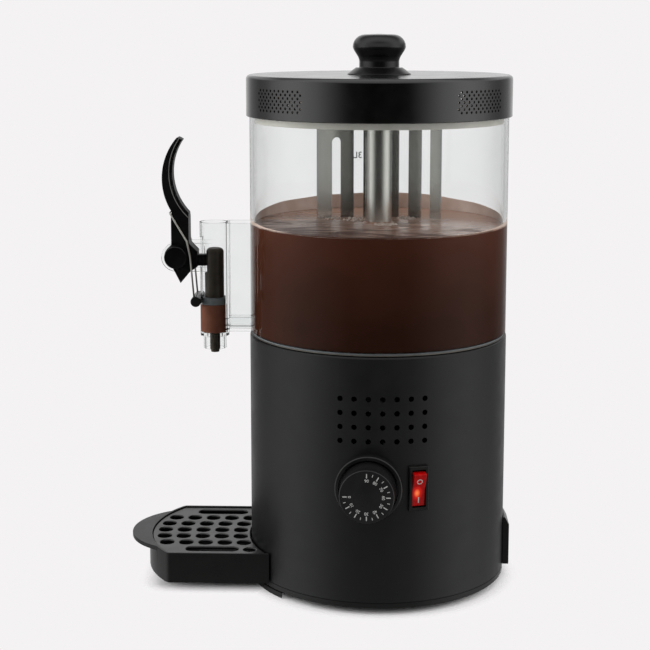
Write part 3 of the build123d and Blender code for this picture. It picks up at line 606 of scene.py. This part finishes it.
# %% Dial and bezel
finish("dial_black", "dial_black_plastic", tone(15, 15, 15), tone(19, 19, 19), patch=0.01,
       roughness=(0.2, 0.26), grain=0.0004, relief=0.02, specular=0.5)
bezel_hole, bezel_inner, bezel_r = 4, 20, 23
bezel_back, bezel_floor, bezel_rim = -1.2, 2, 5
bezel = spun([
    (bezel_hole, bezel_back), (bezel_r, bezel_back), (bezel_r, bezel_rim), (bezel_inner, bezel_rim),
    (bezel_inner, bezel_floor), (bezel_hole, bezel_floor),
], rounds=[(2, 1.1), (3, 0.5)], steps=128)
bmesh.ops.transform(bezel, matrix=dial_place, verts=bezel.verts)
shown(bezel, "dial_bezel_ring", "base", "black_plastic", "dial_bezel", look="dial_black")
dial_back, dial_face = 2.6, 21.92
dial_back_r, dial_face_r = 19.2, 18.5
dial = spun([
    (0, dial_back), (dial_back_r, dial_back), (dial_face_r, dial_face), (0, dial_face),
], rounds=[(2, 0.8), (1, 0.5)], steps=128, closed=False)
bmesh.ops.transform(dial, matrix=dial_place, verts=dial.verts)
shown(dial, "dial_body", "dial", "black_plastic", "dial_knob", look="dial_black")

# %% [markdown]
# A scale from 0 to 90 is printed on the dial in white. Each tick is a thin bar, long at the tens and
# short between them, and each number is set with its top outward. Text starts as a curve and becomes
# a mesh before it is placed, so that it moves with the dial like any other piece.

# %% Dial scale
finish("white_print", "white_print", tone(196, 196, 194), tone(214, 214, 212), patch=0.0008,
       roughness=(0.5, 0.65), grain=0.0002, relief=0.1)


def add_text(form, words, height, place, bold=0.03, thick=0.03):
    """Add raised letters, centred on a place."""
    curve = bpy.data.curves.new("letters", "FONT")
    curve.body = words
    curve.size = height * mm * 1.4
    curve.align_x = "CENTER"
    curve.align_y = "CENTER"
    curve.extrude = thick * mm
    curve.offset = bold * mm
    curve.resolution_u = 3
    holder = bpy.data.objects.new("letters", curve)
    scene.collection.objects.link(holder)
    bpy.context.view_layer.update()
    mesh = bpy.data.meshes.new_from_object(holder.evaluated_get(bpy.context.evaluated_depsgraph_get()))
    mesh.transform(place)
    form.from_mesh(mesh)
    bpy.data.objects.remove(holder)
    bpy.data.meshes.remove(mesh)


def on_dial(angle, radius):
    """Matrix of a spot on the dial's face, its y axis pointing away from the middle."""
    spin = Matrix.Rotation(angle - math.pi / 2, 4, "Z")
    return dial_place @ spin @ Matrix.Translation((0, radius * mm, (dial_face + 0.01) * mm))


last_mark = 90
scale_arc = math.radians(270)
scale = bmesh.new()
for mark in range(0, last_mark + 1, 5):
    angle = math.pi + scale_arc * mark / last_mark
    if mark % 10:
        add_brick(scale, on_dial(angle, 15.2), width=0.45, height=1.8, depth=0.06)
    else:
        add_brick(scale, on_dial(angle, 14.6), width=0.7, height=3.0, depth=0.06)
        add_text(scale, str(mark), 2.1, on_dial(angle, 11.2))
shown(scale, "dial_scale", "dial", "white_print")

# %% [markdown]
# The rocker switch is red and lit from inside. Its lamp shows as a small warm spot. The glow is a
# soft ball in the material's emission colour, centred on the spot by a mapping node, so the moulding
# itself stays one simple piece.

# %% Rocker switch
finish("red_plastic", "red_switch_plastic", tone(172, 4, 6), tone(200, 10, 10), patch=0.003,
       roughness=(0.28, 0.36), grain=0.0005, relief=0.03, specular=0.2)
tree = finishes["red_plastic"].node_tree
glow_spot = switch_place @ Vector((-0.0012, -0.0032, 0.0022))
glow_size = 0.0042
centre = tree.nodes.new("ShaderNodeMapping")
centre.vector_type = "TEXTURE"
centre.inputs["Location"].default_value = glow_spot
centre.inputs["Scale"].default_value = (glow_size, glow_size, glow_size * 1.4)
ball = tree.nodes.new("ShaderNodeTexGradient")
ball.gradient_type = "SPHERICAL"
warm = tree.nodes.new("ShaderNodeValToRGB")
warm.color_ramp.elements[0].color = (0, 0, 0, 1)
warm.color_ramp.elements[1].color = (*tone(255, 150, 84), 1)
red_stop = warm.color_ramp.elements.new(0.45)
red_stop.color = (*tone(150, 24, 12), 1)
tree.links.new(tree.nodes["Texture Coordinate"].outputs["Object"], centre.inputs["Vector"])
tree.links.new(centre.outputs["Vector"], ball.inputs["Vector"])
tree.links.new(ball.outputs["Fac"], warm.inputs["Fac"])
lit = tree.nodes["Principled BSDF"]
tree.links.new(warm.outputs["Color"], lit.inputs["Emission Color"])
lit.inputs["Emission Strength"].default_value = 0.9
rounded("switch_rocker", "rocker_moulding", "rocker", "red_plastic", width=0.35)
rounded("switch_housing", "switch_frame", "base", "black_plastic", width=0.15)

# %% [markdown]
# The switch has the usual marks: a line for on and a ring for off. They lie on the two slopes of the
# rocker. Each slope leans by the rocker's rest tilt and by its own hollow, so the marks get the same
# two turns. The ring is a bridge between two circles.

# %% Switch marks
rocker_pivot = -1.5
rocker_face = 2.0
rest_tilt = math.radians(12)
hollow_depth, hollow_length = 1.4, 12
slope = math.atan2(hollow_depth, hollow_length)
rocker_turn = (Matrix.Translation((0, 0, rocker_pivot * mm)) @ Matrix.Rotation(rest_tilt, 4, "X")
               @ Matrix.Translation((0, 0, -rocker_pivot * mm)))


def on_rocker(side, along):
    """Matrix of a spot on one slope of the rocker, a distance from its middle."""
    lean = Matrix.Rotation(side * slope, 4, "X")
    rise = Matrix.Translation((0, side * along * mm, 0.02 * mm))
    return switch_place @ rocker_turn @ Matrix.Translation((0, 0, rocker_face * mm)) @ lean @ rise


marks = bmesh.new()
add_brick(marks, on_rocker(-1, 7.4), width=0.7, height=4.2, depth=0.06)
for ring_radius in (2.0, 1.4):
    bmesh.ops.create_circle(marks, cap_ends=False, segments=32, radius=ring_radius * mm,
                            matrix=on_rocker(1, 6.4))
bmesh.ops.bridge_loops(marks, edges=[edge for edge in marks.edges if edge.is_wire])
shown(marks, "switch_marks", "rocker", "white_print")

# %% [markdown]
# At the back of the drum a cover frames the recessed mains inlet, so that the machine can be put
# away without its lead. The three pins are plain plated blades.

# %% Mains inlet
rounded("inlet_cover", "inlet_cover_moulding", "base", "black_plastic", width=0.5)
rounded("inlet_socket", "inlet_socket_moulding", "base", "black_plastic", width=0.3)

# %% [markdown]
# The bowl is a thick clear plastic cylinder. Light bends at both of its walls, so it needs a true
# inner and outer surface with rounded rims. The index of refraction is set lower than that of solid
# plastic, because wet and slightly hazy walls bend and mirror less than dry polished ones. It casts
# no shadow here: a clear wall hardly dims a lamp, and the drink behind it is then lit as evenly as
# in life.

# %% Bowl
clear_sockets = {"Transmission Weight": 1.0, "IOR": 1.25}
finish("clear_bowl", "clear_bowl_plastic", tone(244, 246, 245), tone(250, 251, 251), patch=0.05,
       roughness=(0.0, 0.0), grain=0.02, relief=0.0, sockets=clear_sockets)
bowl_low, bowl_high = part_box("bowl_cylinder")
bowl_r = bowl_high.x / mm
bowl_inner = bowl_r - 3.0
bowl_foot = bowl_low.z / mm
bowl_top = bowl_high.z / mm
bowl = spun([
    (bowl_inner, bowl_foot), (bowl_r, bowl_foot), (bowl_r, bowl_top), (bowl_inner, bowl_top),
], rounds=[(0, 0.2), (1, 0.25), (2, 0.8), (3, 0.8)])
bowl_piece = shown(bowl, "bowl_glazing", "bowl", "clear_bowl", "bowl_cylinder")
bowl_piece.visible_shadow = False

# %% [markdown]
# The bowl stands on a stainless disc with a seal between them. Stainless steel is a metal with fine
# drawn lines; here the noise is stretched along the upright axis, so the lines run up the column.
# The disc under the drink is duller than the polished column.

# %% Steel floor, seal and column
finish("polished_steel", "drawn_stainless_steel", tone(204, 203, 197), tone(212, 211, 205), patch=0.012,
       roughness=(0.24, 0.27), grain=0.0008, relief=0.008, stretch=(1, 1, 0.02), metallic=1.0)
finish("dull_steel", "dull_stainless_steel", tone(104, 100, 94), tone(122, 118, 111), patch=0.01,
       roughness=(0.4, 0.5), grain=0.0008, relief=0.02, metallic=1.0)
finish("seal_grey", "grey_seal_rubber", tone(92, 97, 99), tone(108, 112, 113), patch=0.003,
       roughness=(0.5, 0.6), grain=0.0004, relief=0.1)
steel_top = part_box("bowl_floor")[1].z / mm
rounded("bowl_floor", "bowl_floor_disc", "bowl", "polished_steel", width=0.2, look="dull_steel")
shown(cad_copy("bowl_gasket"), "bowl_seal_ring", "bowl", "seal_grey", "bowl_gasket")
column_low, column_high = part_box("column_tube")
column_r = column_high.x / mm
column_inner = column_r - 1
column_foot = column_low.z / mm
column_top = column_high.z / mm
column = spun([
    (column_inner, column_foot), (column_r, column_foot), (column_r, column_top),
    (column_inner, column_top),
], rounds=[(2, 0.4)], steps=96)
shown(column, "column_sleeve", "bowl", "polished_steel", "column_tube")

# %% [markdown]
# The stirrer blade is a curved steel sheet with upright slots that hangs from a hub on top of the
# column. The sheet is shown as the CAD made it: its smooth curve is what draws the soft bands of
# light on the bars, and a rounding of its thin edges would not be seen. It gets its steel with the
# other CAD pieces at the end, so only the hub is made here.

# %% Stirrer
rounded("stirrer_hub", "stirrer_hub_cap", "stirrer", "polished_steel", width=0.5)

# %% [markdown]
# The drink fills half of the bowl. Its side is pressed a hair into the clear wall, because a gap of
# air there would mirror the light like a bubble. Its colour is darkened by a ramp along the upright
# axis, down to half at the bottom, so it is lighter toward the top.

# %% Drink
finish("chocolate", "hot_chocolate", tone(72, 39, 27), tone(86, 49, 35), patch=0.05,
       roughness=(0.35, 0.45), grain=0.004, relief=0.0, specular=0.05)
drink_top = 258.8
shade_along(finishes["chocolate"], "Z", near=0.2, far=drink_top * mm, darkest=0.5)
overlap = 0.2
drink_r = bowl_inner + overlap
core_r = column_r - overlap
drink_foot = steel_top + 0.1
wall_foot = bowl_foot + 0.25
drink = spun([
    (core_r, drink_foot), (drink_r - 2, drink_foot), (drink_r - 2, wall_foot), (drink_r, wall_foot),
    (drink_r, drink_top), (core_r, drink_top),
])
shown(drink, "drink", "bowl", "chocolate")

# %% [markdown]
# On top of the drink lies a skin with pale swirls. It rises a little at the wall and at the column.
# Toward the back right it gets glossier and its colour is painted paler, a painted sheen: a slope
# over the surface is added to the noise that the colour and the gloss follow.

# %% Skin
finish("chocolate_skin", "chocolate_skin", tone(72, 39, 27), tone(188, 148, 128), patch=0.026,
       roughness=(0.5, 0.16), grain=0.014, relief=0.01, stretch=(0.6, 1.4, 1), specular=0.25)
tree = finishes["chocolate_skin"].node_tree
swirl = tree.nodes["Noise Texture"]
swirl.inputs["Distortion"].default_value = 2.5
# The slope paints a sheen into the skin's colour: painted light toward the back right.
plain_spot = (0, -0.025, 0)
painted_sheen_way = (1.8, 3.2, 0)
skin_spot = tree.nodes["Texture Coordinate"].outputs["Object"]
from_plain = vector_math(tree, "SUBTRACT", skin_spot, plain_spot)
painted_sheen = vector_math(tree, "DOT_PRODUCT", from_plain, painted_sheen_way)
swirl_and_painted_sheen = number_math(tree, "ADD", painted_sheen, swirl.outputs["Fac"])
for follower in ("Color Ramp", "Map Range"):
    tree.links.new(swirl_and_painted_sheen, tree.nodes[follower].inputs[0])
skin = spun([
    (core_r, drink_top), (drink_r, drink_top), (drink_r, drink_top + 0.9),
    (drink_r - 0.9, drink_top + 0.6), (drink_r - 4.0, drink_top + 0.35), (column_r + 3, drink_top + 0.3),
    (column_r + 0.8, drink_top + 0.6), (core_r, drink_top + 1.6),
])
shown(skin, "drink_skin", "bowl", "chocolate_skin", sharp=60)

# %% [markdown]
# The stirrer has also left a tan film on the wall. The film is a thin spun ring whose upper edge is
# then lifted: high at the back, almost nothing at the front, with a few slow waves.

# %% Film
finish("chocolate_film", "chocolate_film", tone(210, 180, 164), tone(238, 216, 204), patch=0.018,
       roughness=(0.3, 0.45), grain=0.006, relief=0.05)
film_foot = drink_top + 0.2
film_edge = drink_top + 2.0
film_front = drink_top + 0.25
film_rise = 11.8
film_waves = 0.7
film = spun([
    (drink_r - 0.5, film_foot), (drink_r, film_foot), (drink_r, film_edge), (drink_r - 0.3, film_edge),
])
for vert in film.verts:
    if vert.co.z > (film_edge - 0.1) * mm:
        angle = math.atan2(vert.co.y, vert.co.x)
        back = (1 + math.sin(angle)) / 2
        wave = 0.5 * math.sin(5 * angle + 1) + 0.3 * math.sin(13 * angle)
        vert.co.z = (film_front + (film_rise + film_waves * wave) * back ** 1.4) * mm
shown(film, "drink_film", "bowl", "chocolate_film", sharp=60)

# %% [markdown]
# Small bubbles gather where the bars and the column stir the surface. They are half sunk balls of
# a few sizes, set on a sunflower spiral round four spots, so they look scattered and still come out
# the same each time. The blade drives them along, so they ride on the stirrer.

# %% Bubbles
finish("foam", "foam_bubbles", tone(200, 172, 156), tone(242, 232, 224), patch=0.002,
       roughness=(0.08, 0.16), grain=0.001, relief=0.05)
foam = bmesh.new()
golden = math.radians(137.5)
# Each spot has the x and y of its middle, its number of bubbles and its radius.
foam_spots = ((-14, 12, 40, 11), (5, -13.5, 48, 8), (21, 22, 20, 7), (-34, 20, 12, 7))
for middle_x, middle_y, count, spread in foam_spots:
    for number in range(count):
        away = spread * math.sqrt((number + 0.5) / count)
        bubble_x = middle_x + away * math.cos(number * golden)
        bubble_y = middle_y + away * math.sin(number * golden)
        if math.hypot(bubble_x, bubble_y) < column_r + 0.4:
            continue
        size = 0.5 + 0.3 * (number % 3) + 0.4 * (number % 7 == 0)
        place = Matrix.Translation((bubble_x * mm, bubble_y * mm, (drink_top + 0.3) * mm))
        bmesh.ops.create_icosphere(foam, subdivisions=2, radius=size * mm, matrix=place)
shown(foam, "drink_foam", "stirrer", "foam", sharp=180)

# %% [markdown]
# Litre marks are printed on the back of the bowl, to be read from behind, so from the front they are
# seen through the wall and mirrored. The height at which the bowl holds a volume is worked out from
# its ring-shaped area. Each number and its line stand a few millimetres below that height.

# %% Litre marks
finish("grey_print", "grey_print", tone(140, 142, 142), tone(156, 158, 158), patch=0.0008,
       roughness=(0.5, 0.65), grain=0.0002, relief=0.1)
mark_angle = math.radians(190)
print_radius = bowl_r * mm - 0.00002
number_drop = 4.5
line_drop = 6.8
cubic_mm_per_litre = 1000000
bowl_area = math.pi * (bowl_inner ** 2 - column_r ** 2)
litres = bmesh.new()
for volume in (1, 2, 3):
    level = bowl_foot + volume * cubic_mm_per_litre / bowl_area
    number_place = wall_place(mark_angle, (level - number_drop) * mm, print_radius)
    line_place = wall_place(mark_angle + 0.1, (level - line_drop) * mm, print_radius)
    add_text(litres, str(volume) + "L", 5.0, number_place, bold=0.08, thick=0.015)
    add_brick(litres, line_place, width=5, height=0.5, depth=0.03)
shown(litres, "litre_marks", "bowl", "grey_print")

# %% [markdown]
# The lid is a shallow spun cap with a small round at its top edge. Four patches of fine holes let
# steam out. Each hole has few sides, because there are almost three hundred of them.

# %% Lid
finish("lid_black", "satin_lid_black", tone(3, 3, 3), tone(6, 6, 6), patch=0.012, roughness=(0.15, 0.2),
       grain=0.0005, relief=0.01, specular=1.0)
lid_low, lid_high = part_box("lid_shell")
lid_r = lid_high.x / mm
lid_foot = lid_low.z / mm
lid_top = lid_high.z / mm
lid_wall = 1.5
screw_hole = 2
lid = spun([
    (screw_hole, lid_top - lid_wall), (lid_r - lid_wall, lid_top - lid_wall),
    (lid_r - lid_wall, lid_foot), (lid_r, lid_foot), (lid_r, lid_top), (screw_hole, lid_top),
], rounds=[(3, 0.6), (4, 3.0)], steps=256)
steam_holes = bmesh.new()
hole_pitch = 4.36
row_pitch = 2.27
hole_rows = 7
patch_height = lid_foot + 13
for patch_angle in (-133, -47, 47, 133):
    for row in range(hole_rows):
        holes_in_row = 10 + row % 2
        height = (patch_height + row_pitch * (row - (hole_rows - 1) / 2)) * mm
        for hole in range(holes_in_row):
            angle = math.radians(patch_angle) + hole_pitch * (hole - (holes_in_row - 1) / 2) / lid_r
            add_peg(steam_holes, wall_place(angle, height, lid_r * mm), radius=0.92, depth=6, sides=10)
shown(carve(lid, steam_holes), "lid_cap", "lid", "black_plastic", "lid_shell", look="lid_black")

# %% [markdown]
# Under the lid a pale collar fits into the bowl. It shows through the clear wall as a cream band.
# The knob on top is a turned shape in glossy black, drawn from its flange up to its round head.

# %% Collar and knob
finish("collar_grey", "pale_collar_plastic", tone(214, 211, 201), tone(226, 223, 214), patch=0.01,
       roughness=(0.4, 0.5), grain=0.0006, relief=0.05)
rounded("lid_collar", "lid_collar_ring", "lid", "collar_grey", width=0.3)
finish("gloss_black", "gloss_black_plastic", tone(8, 8, 8), tone(11, 11, 11), patch=0.01,
       roughness=(0.14, 0.22), grain=0.001, relief=0.02)
flange_r, flange_top_r, neck_r, head_r = 22.5, 16.6, 14.2, 18.8
knob = spun([
    (0, lid_top), (flange_r, lid_top), (flange_r, lid_top + 0.6), (flange_top_r, lid_top + 4.8),
    (neck_r, lid_top + 5.0), (neck_r, lid_top + 11.0), (head_r, lid_top + 18.2), (head_r, lid_top + 27.6),
    (0, lid_top + 28.4),
], rounds=[(7, 8.5), (6, 7.0), (5, 7.0), (4, 0.5), (3, 0.6), (2, 0.25)], steps=128, closed=False)
shown(knob, "lid_knob_turning", "lid", "gloss_black", "lid_knob")

# %% [markdown]
# The tap is moulded in clear plastic: an upright chamber with two plates that reach the bowl and two
# ears that carry the lever. It is a copy of the CAD solid. An edge of clear plastic turns light away
# and shows as a dark line, so each sharp edge gets a narrow flat in a darker tint: painted shade that
# draws that dark line. Like the bowl, the tap casts no shadow.

# %% Tap body
finish("clear_tap", "clear_tap_plastic", tone(248, 250, 249), tone(252, 253, 253), patch=0.02,
       roughness=(0.0, 0.0), grain=0.012, relief=0.03, sockets=clear_sockets)
# The darker tint of the tap's edge flats is painted shade.
finish("clear_edge_painted_shade", "clear_tap_painted_edge_shade", tone(66, 70, 69), tone(90, 94, 93), patch=0.01,
       roughness=(0.05, 0.1), grain=0.012, relief=0.0, sockets=clear_sockets)
tap_form = cad_copy("tap_body")
cut_flats(tap_form, sharp_edges(tap_form, degrees=60), width=0.35, clamp_overlap=True)
tap = shown(tap_form, "tap_moulding", "bowl", "clear_tap", "tap_body")
tap.data.materials.append(finishes["clear_edge_painted_shade"])
tap.visible_shadow = False

# %% [markdown]
# A little drink stands in the tap above the outlet, round the piston. Its colour is painted paler than
# the drink in the bowl: painted light, for the light that reaches it there from all sides.

# %% Drink in the tap
# The paler colour of the drink in the tap is painted light.
finish("tap_chocolate_painted_light", "tap_chocolate_painted_light", tone(108, 67, 52), tone(122, 78, 62), patch=0.01,
       roughness=(0.35, 0.45), grain=0.004, relief=0.0, specular=0.05)
tap_x = (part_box("piston_seal")[0].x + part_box("piston_seal")[1].x) / 2
rod_r, chamber_r = 2.5, 9.12
outlet_height, seal_height = 178.7, 198.9
tap_drink = spun([
    (rod_r, outlet_height), (chamber_r, outlet_height), (chamber_r, seal_height), (rod_r, seal_height),
], rounds=[(1, 0.6)], steps=64)
bmesh.ops.translate(tap_drink, verts=tap_drink.verts, vec=(tap_x, 0, 0))
shown(tap_drink, "tap_drink", "bowl", "tap_chocolate_painted_light")

# %% [markdown]
# Inside the chamber a dark piston with a grey seal opens and shuts the outlet, and a black lever
# lifts it. The edges between the lever's flat sides and its chamfers get a narrow flat in a pale grey
# finish before the rest is rounded: a painted highlight line along those edges.

# %% Piston and lever
finish("piston_dark", "dark_piston_plastic", tone(46, 41, 34), tone(62, 56, 47), patch=0.008,
       roughness=(0.4, 0.5), grain=0.0006, relief=0.03, specular=0.2)
rounded("tap_piston", "piston_moulding", "piston", "black_plastic", width=0.2, look="piston_dark")
shown(cad_copy("piston_seal"), "piston_seal_ring", "piston", "seal_grey", "piston_seal")
finish("lever_black", "lever_black_plastic", tone(8, 8, 8), tone(12, 12, 12), patch=0.01,
       roughness=(0.4, 0.5), grain=0.0005, relief=0.03, specular=0.12)
# The pale grey finish of the lever's edge flats is a painted highlight.
finish("lever_painted_highlight", "lever_edge_painted_highlight", tone(104, 104, 102), tone(150, 150, 147), patch=0.006,
       roughness=(0.4, 0.5), grain=0.0005, relief=0.03)
lever = cad_copy("tap_lever")
chamfer_edges = []
for edge in lever.edges:
    facing = sorted(abs(face.normal.y) for face in edge.link_faces)
    if 0.6 < facing[0] < 0.8 and facing[-1] > 0.99:
        chamfer_edges.append(edge)
cut_flats(lever, chamfer_edges, width=0.3, clamp_overlap=False)
lever_piece = shown(soften(lever, 0.5), "lever_moulding", "lever", "gloss_black", "tap_lever",
                    look="lever_black")
lever_piece.data.materials.append(finishes["lever_painted_highlight"])
rounded("lever_pin", "lever_pin_turning", "bowl", "gloss_black", width=0.5, segments=3)
rounded("pin_cap", "pin_cap_turning", "bowl", "gloss_black", width=0.5, segments=3)

# %% [markdown]
# A bent spring wire pulls the lever back. The wire is held at the tap and at the lever. Here it is a
# smooth copy of the CAD wire that stays where it stands and rides on no body.

# %% Return spring
rounded("spring_anchor", "spring_anchor_moulding", "bowl", "black_plastic", width=0.5)
finish("spring_steel", "spring_wire", tone(196, 194, 186), tone(222, 220, 213), patch=0.002,
       roughness=(0.3, 0.42), grain=0.0004, relief=0.03, metallic=1.0)
spring_mesh = as_mesh(cad_copy("lever_spring"), "return_spring")
spring_mesh.shade_smooth()
spring_mesh.materials.append(finishes["spring_steel"])
spring = bpy.data.objects.new("return_spring", spring_mesh)
scene.collection.objects.link(spring)
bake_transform(spring)
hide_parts("lever_spring")
print("return_spring has", len(spring_mesh.polygons), "faces")

# %% [markdown]
# The drip tray slides onto the bracket and carries a loose grid. Both are black plastic with softly
# broken edges, and the grid is the glossier of the two.

# %% Drip tray and grid
rounded("drip_tray", "drip_tray_moulding", "tray", "black_plastic", width=0.4)
finish("grid_black", "glossy_grid_plastic", tone(10, 10, 10), tone(15, 15, 14), patch=0.01,
       roughness=(0.28, 0.36), grain=0.0004, relief=0.03, specular=0.8)
rounded("drip_grid", "drip_grid_moulding", "grid", "black_plastic", width=0.8, segments=3,
        look="grid_black")

# %% [markdown]
# What is left is inside the machine or under it: motor, gears, heater, wiring and screws. Their
# finishes are metals, plain plastics and felt. The stirrer blade is polished steel whose colour is
# painted darker toward the middle: painted shade, where its bars face the column and mirror little
# of the room.

# %% Inner finishes
finish("zinc_steel", "zinc_plate", tone(150, 150, 152), tone(182, 182, 180), patch=0.003,
       roughness=(0.3, 0.45), grain=0.0005, relief=0.05, metallic=1.0)
finish("stator_iron", "lacquered_iron", tone(70, 66, 64), tone(96, 90, 86), patch=0.002,
       roughness=(0.4, 0.6), grain=0.0005, relief=0.2, metallic=0.8)
finish("cast_aluminium", "cast_aluminium", tone(158, 158, 160), tone(186, 186, 188), patch=0.004,
       roughness=(0.4, 0.55), grain=0.0006, relief=0.2, metallic=1.0)
finish("element_sheath", "element_sheath", tone(96, 90, 82), tone(132, 122, 108), patch=0.006,
       roughness=(0.4, 0.6), grain=0.0006, relief=0.1, metallic=1.0)
finish("copper", "copper", tone(176, 104, 72), tone(206, 134, 98), patch=0.004, roughness=(0.3, 0.45),
       grain=0.0006, relief=0.05, metallic=1.0)
finish("brass", "brass", tone(176, 146, 78), tone(206, 176, 104), patch=0.004, roughness=(0.25, 0.4),
       grain=0.0006, relief=0.05, metallic=1.0)
finish("gear_nylon", "gear_nylon", tone(220, 216, 200), tone(234, 230, 216), patch=0.005,
       roughness=(0.45, 0.6), grain=0.0006, relief=0.05)
finish("mineral_felt", "mineral_felt", tone(176, 164, 132), tone(206, 196, 164), patch=0.003,
       roughness=(0.9, 1.0), grain=0.0004, relief=0.8)
finish("terminal_plastic", "terminal_plastic", tone(214, 212, 204), tone(230, 228, 222), patch=0.005,
       roughness=(0.4, 0.55), grain=0.0006, relief=0.05)
finish("wire_sheath", "wire_sheath", tone(120, 60, 40), tone(150, 80, 56), patch=0.004,
       roughness=(0.4, 0.55), grain=0.0006, relief=0.05)
finish("blade_painted_shade", "stirrer_blade_painted_shade", tone(212, 212, 210), tone(222, 222, 220), patch=0.02,
       roughness=(0.15, 0.2), grain=0.0008, relief=0.01, stretch=(1, 1, 0.1), metallic=1.0)
# The blade's colour is darkened toward the middle: painted shade.
shade_along(finishes["blade_painted_shade"], "X", near=0.028, far=0.034, darkest=0.42)
print("finishes:", len(finishes))

# %% [markdown]
# The CAD nodes that no piece has replaced keep their shape and get the finish of their own material,
# which they carry by name. Only the blade gets a finish of its own, the one with painted shade.

# %% Inner pieces
kept = 0
for name, node in nodes.items():
    if node.hide_render:
        continue
    look = node.data.materials[0].name
    if name == "stirrer_blade":
        look = "blade_painted_shade"
    node.material_slots[0].material = finishes[look]
    kept += 1
print("inner pieces that keep their CAD shape:", kept)
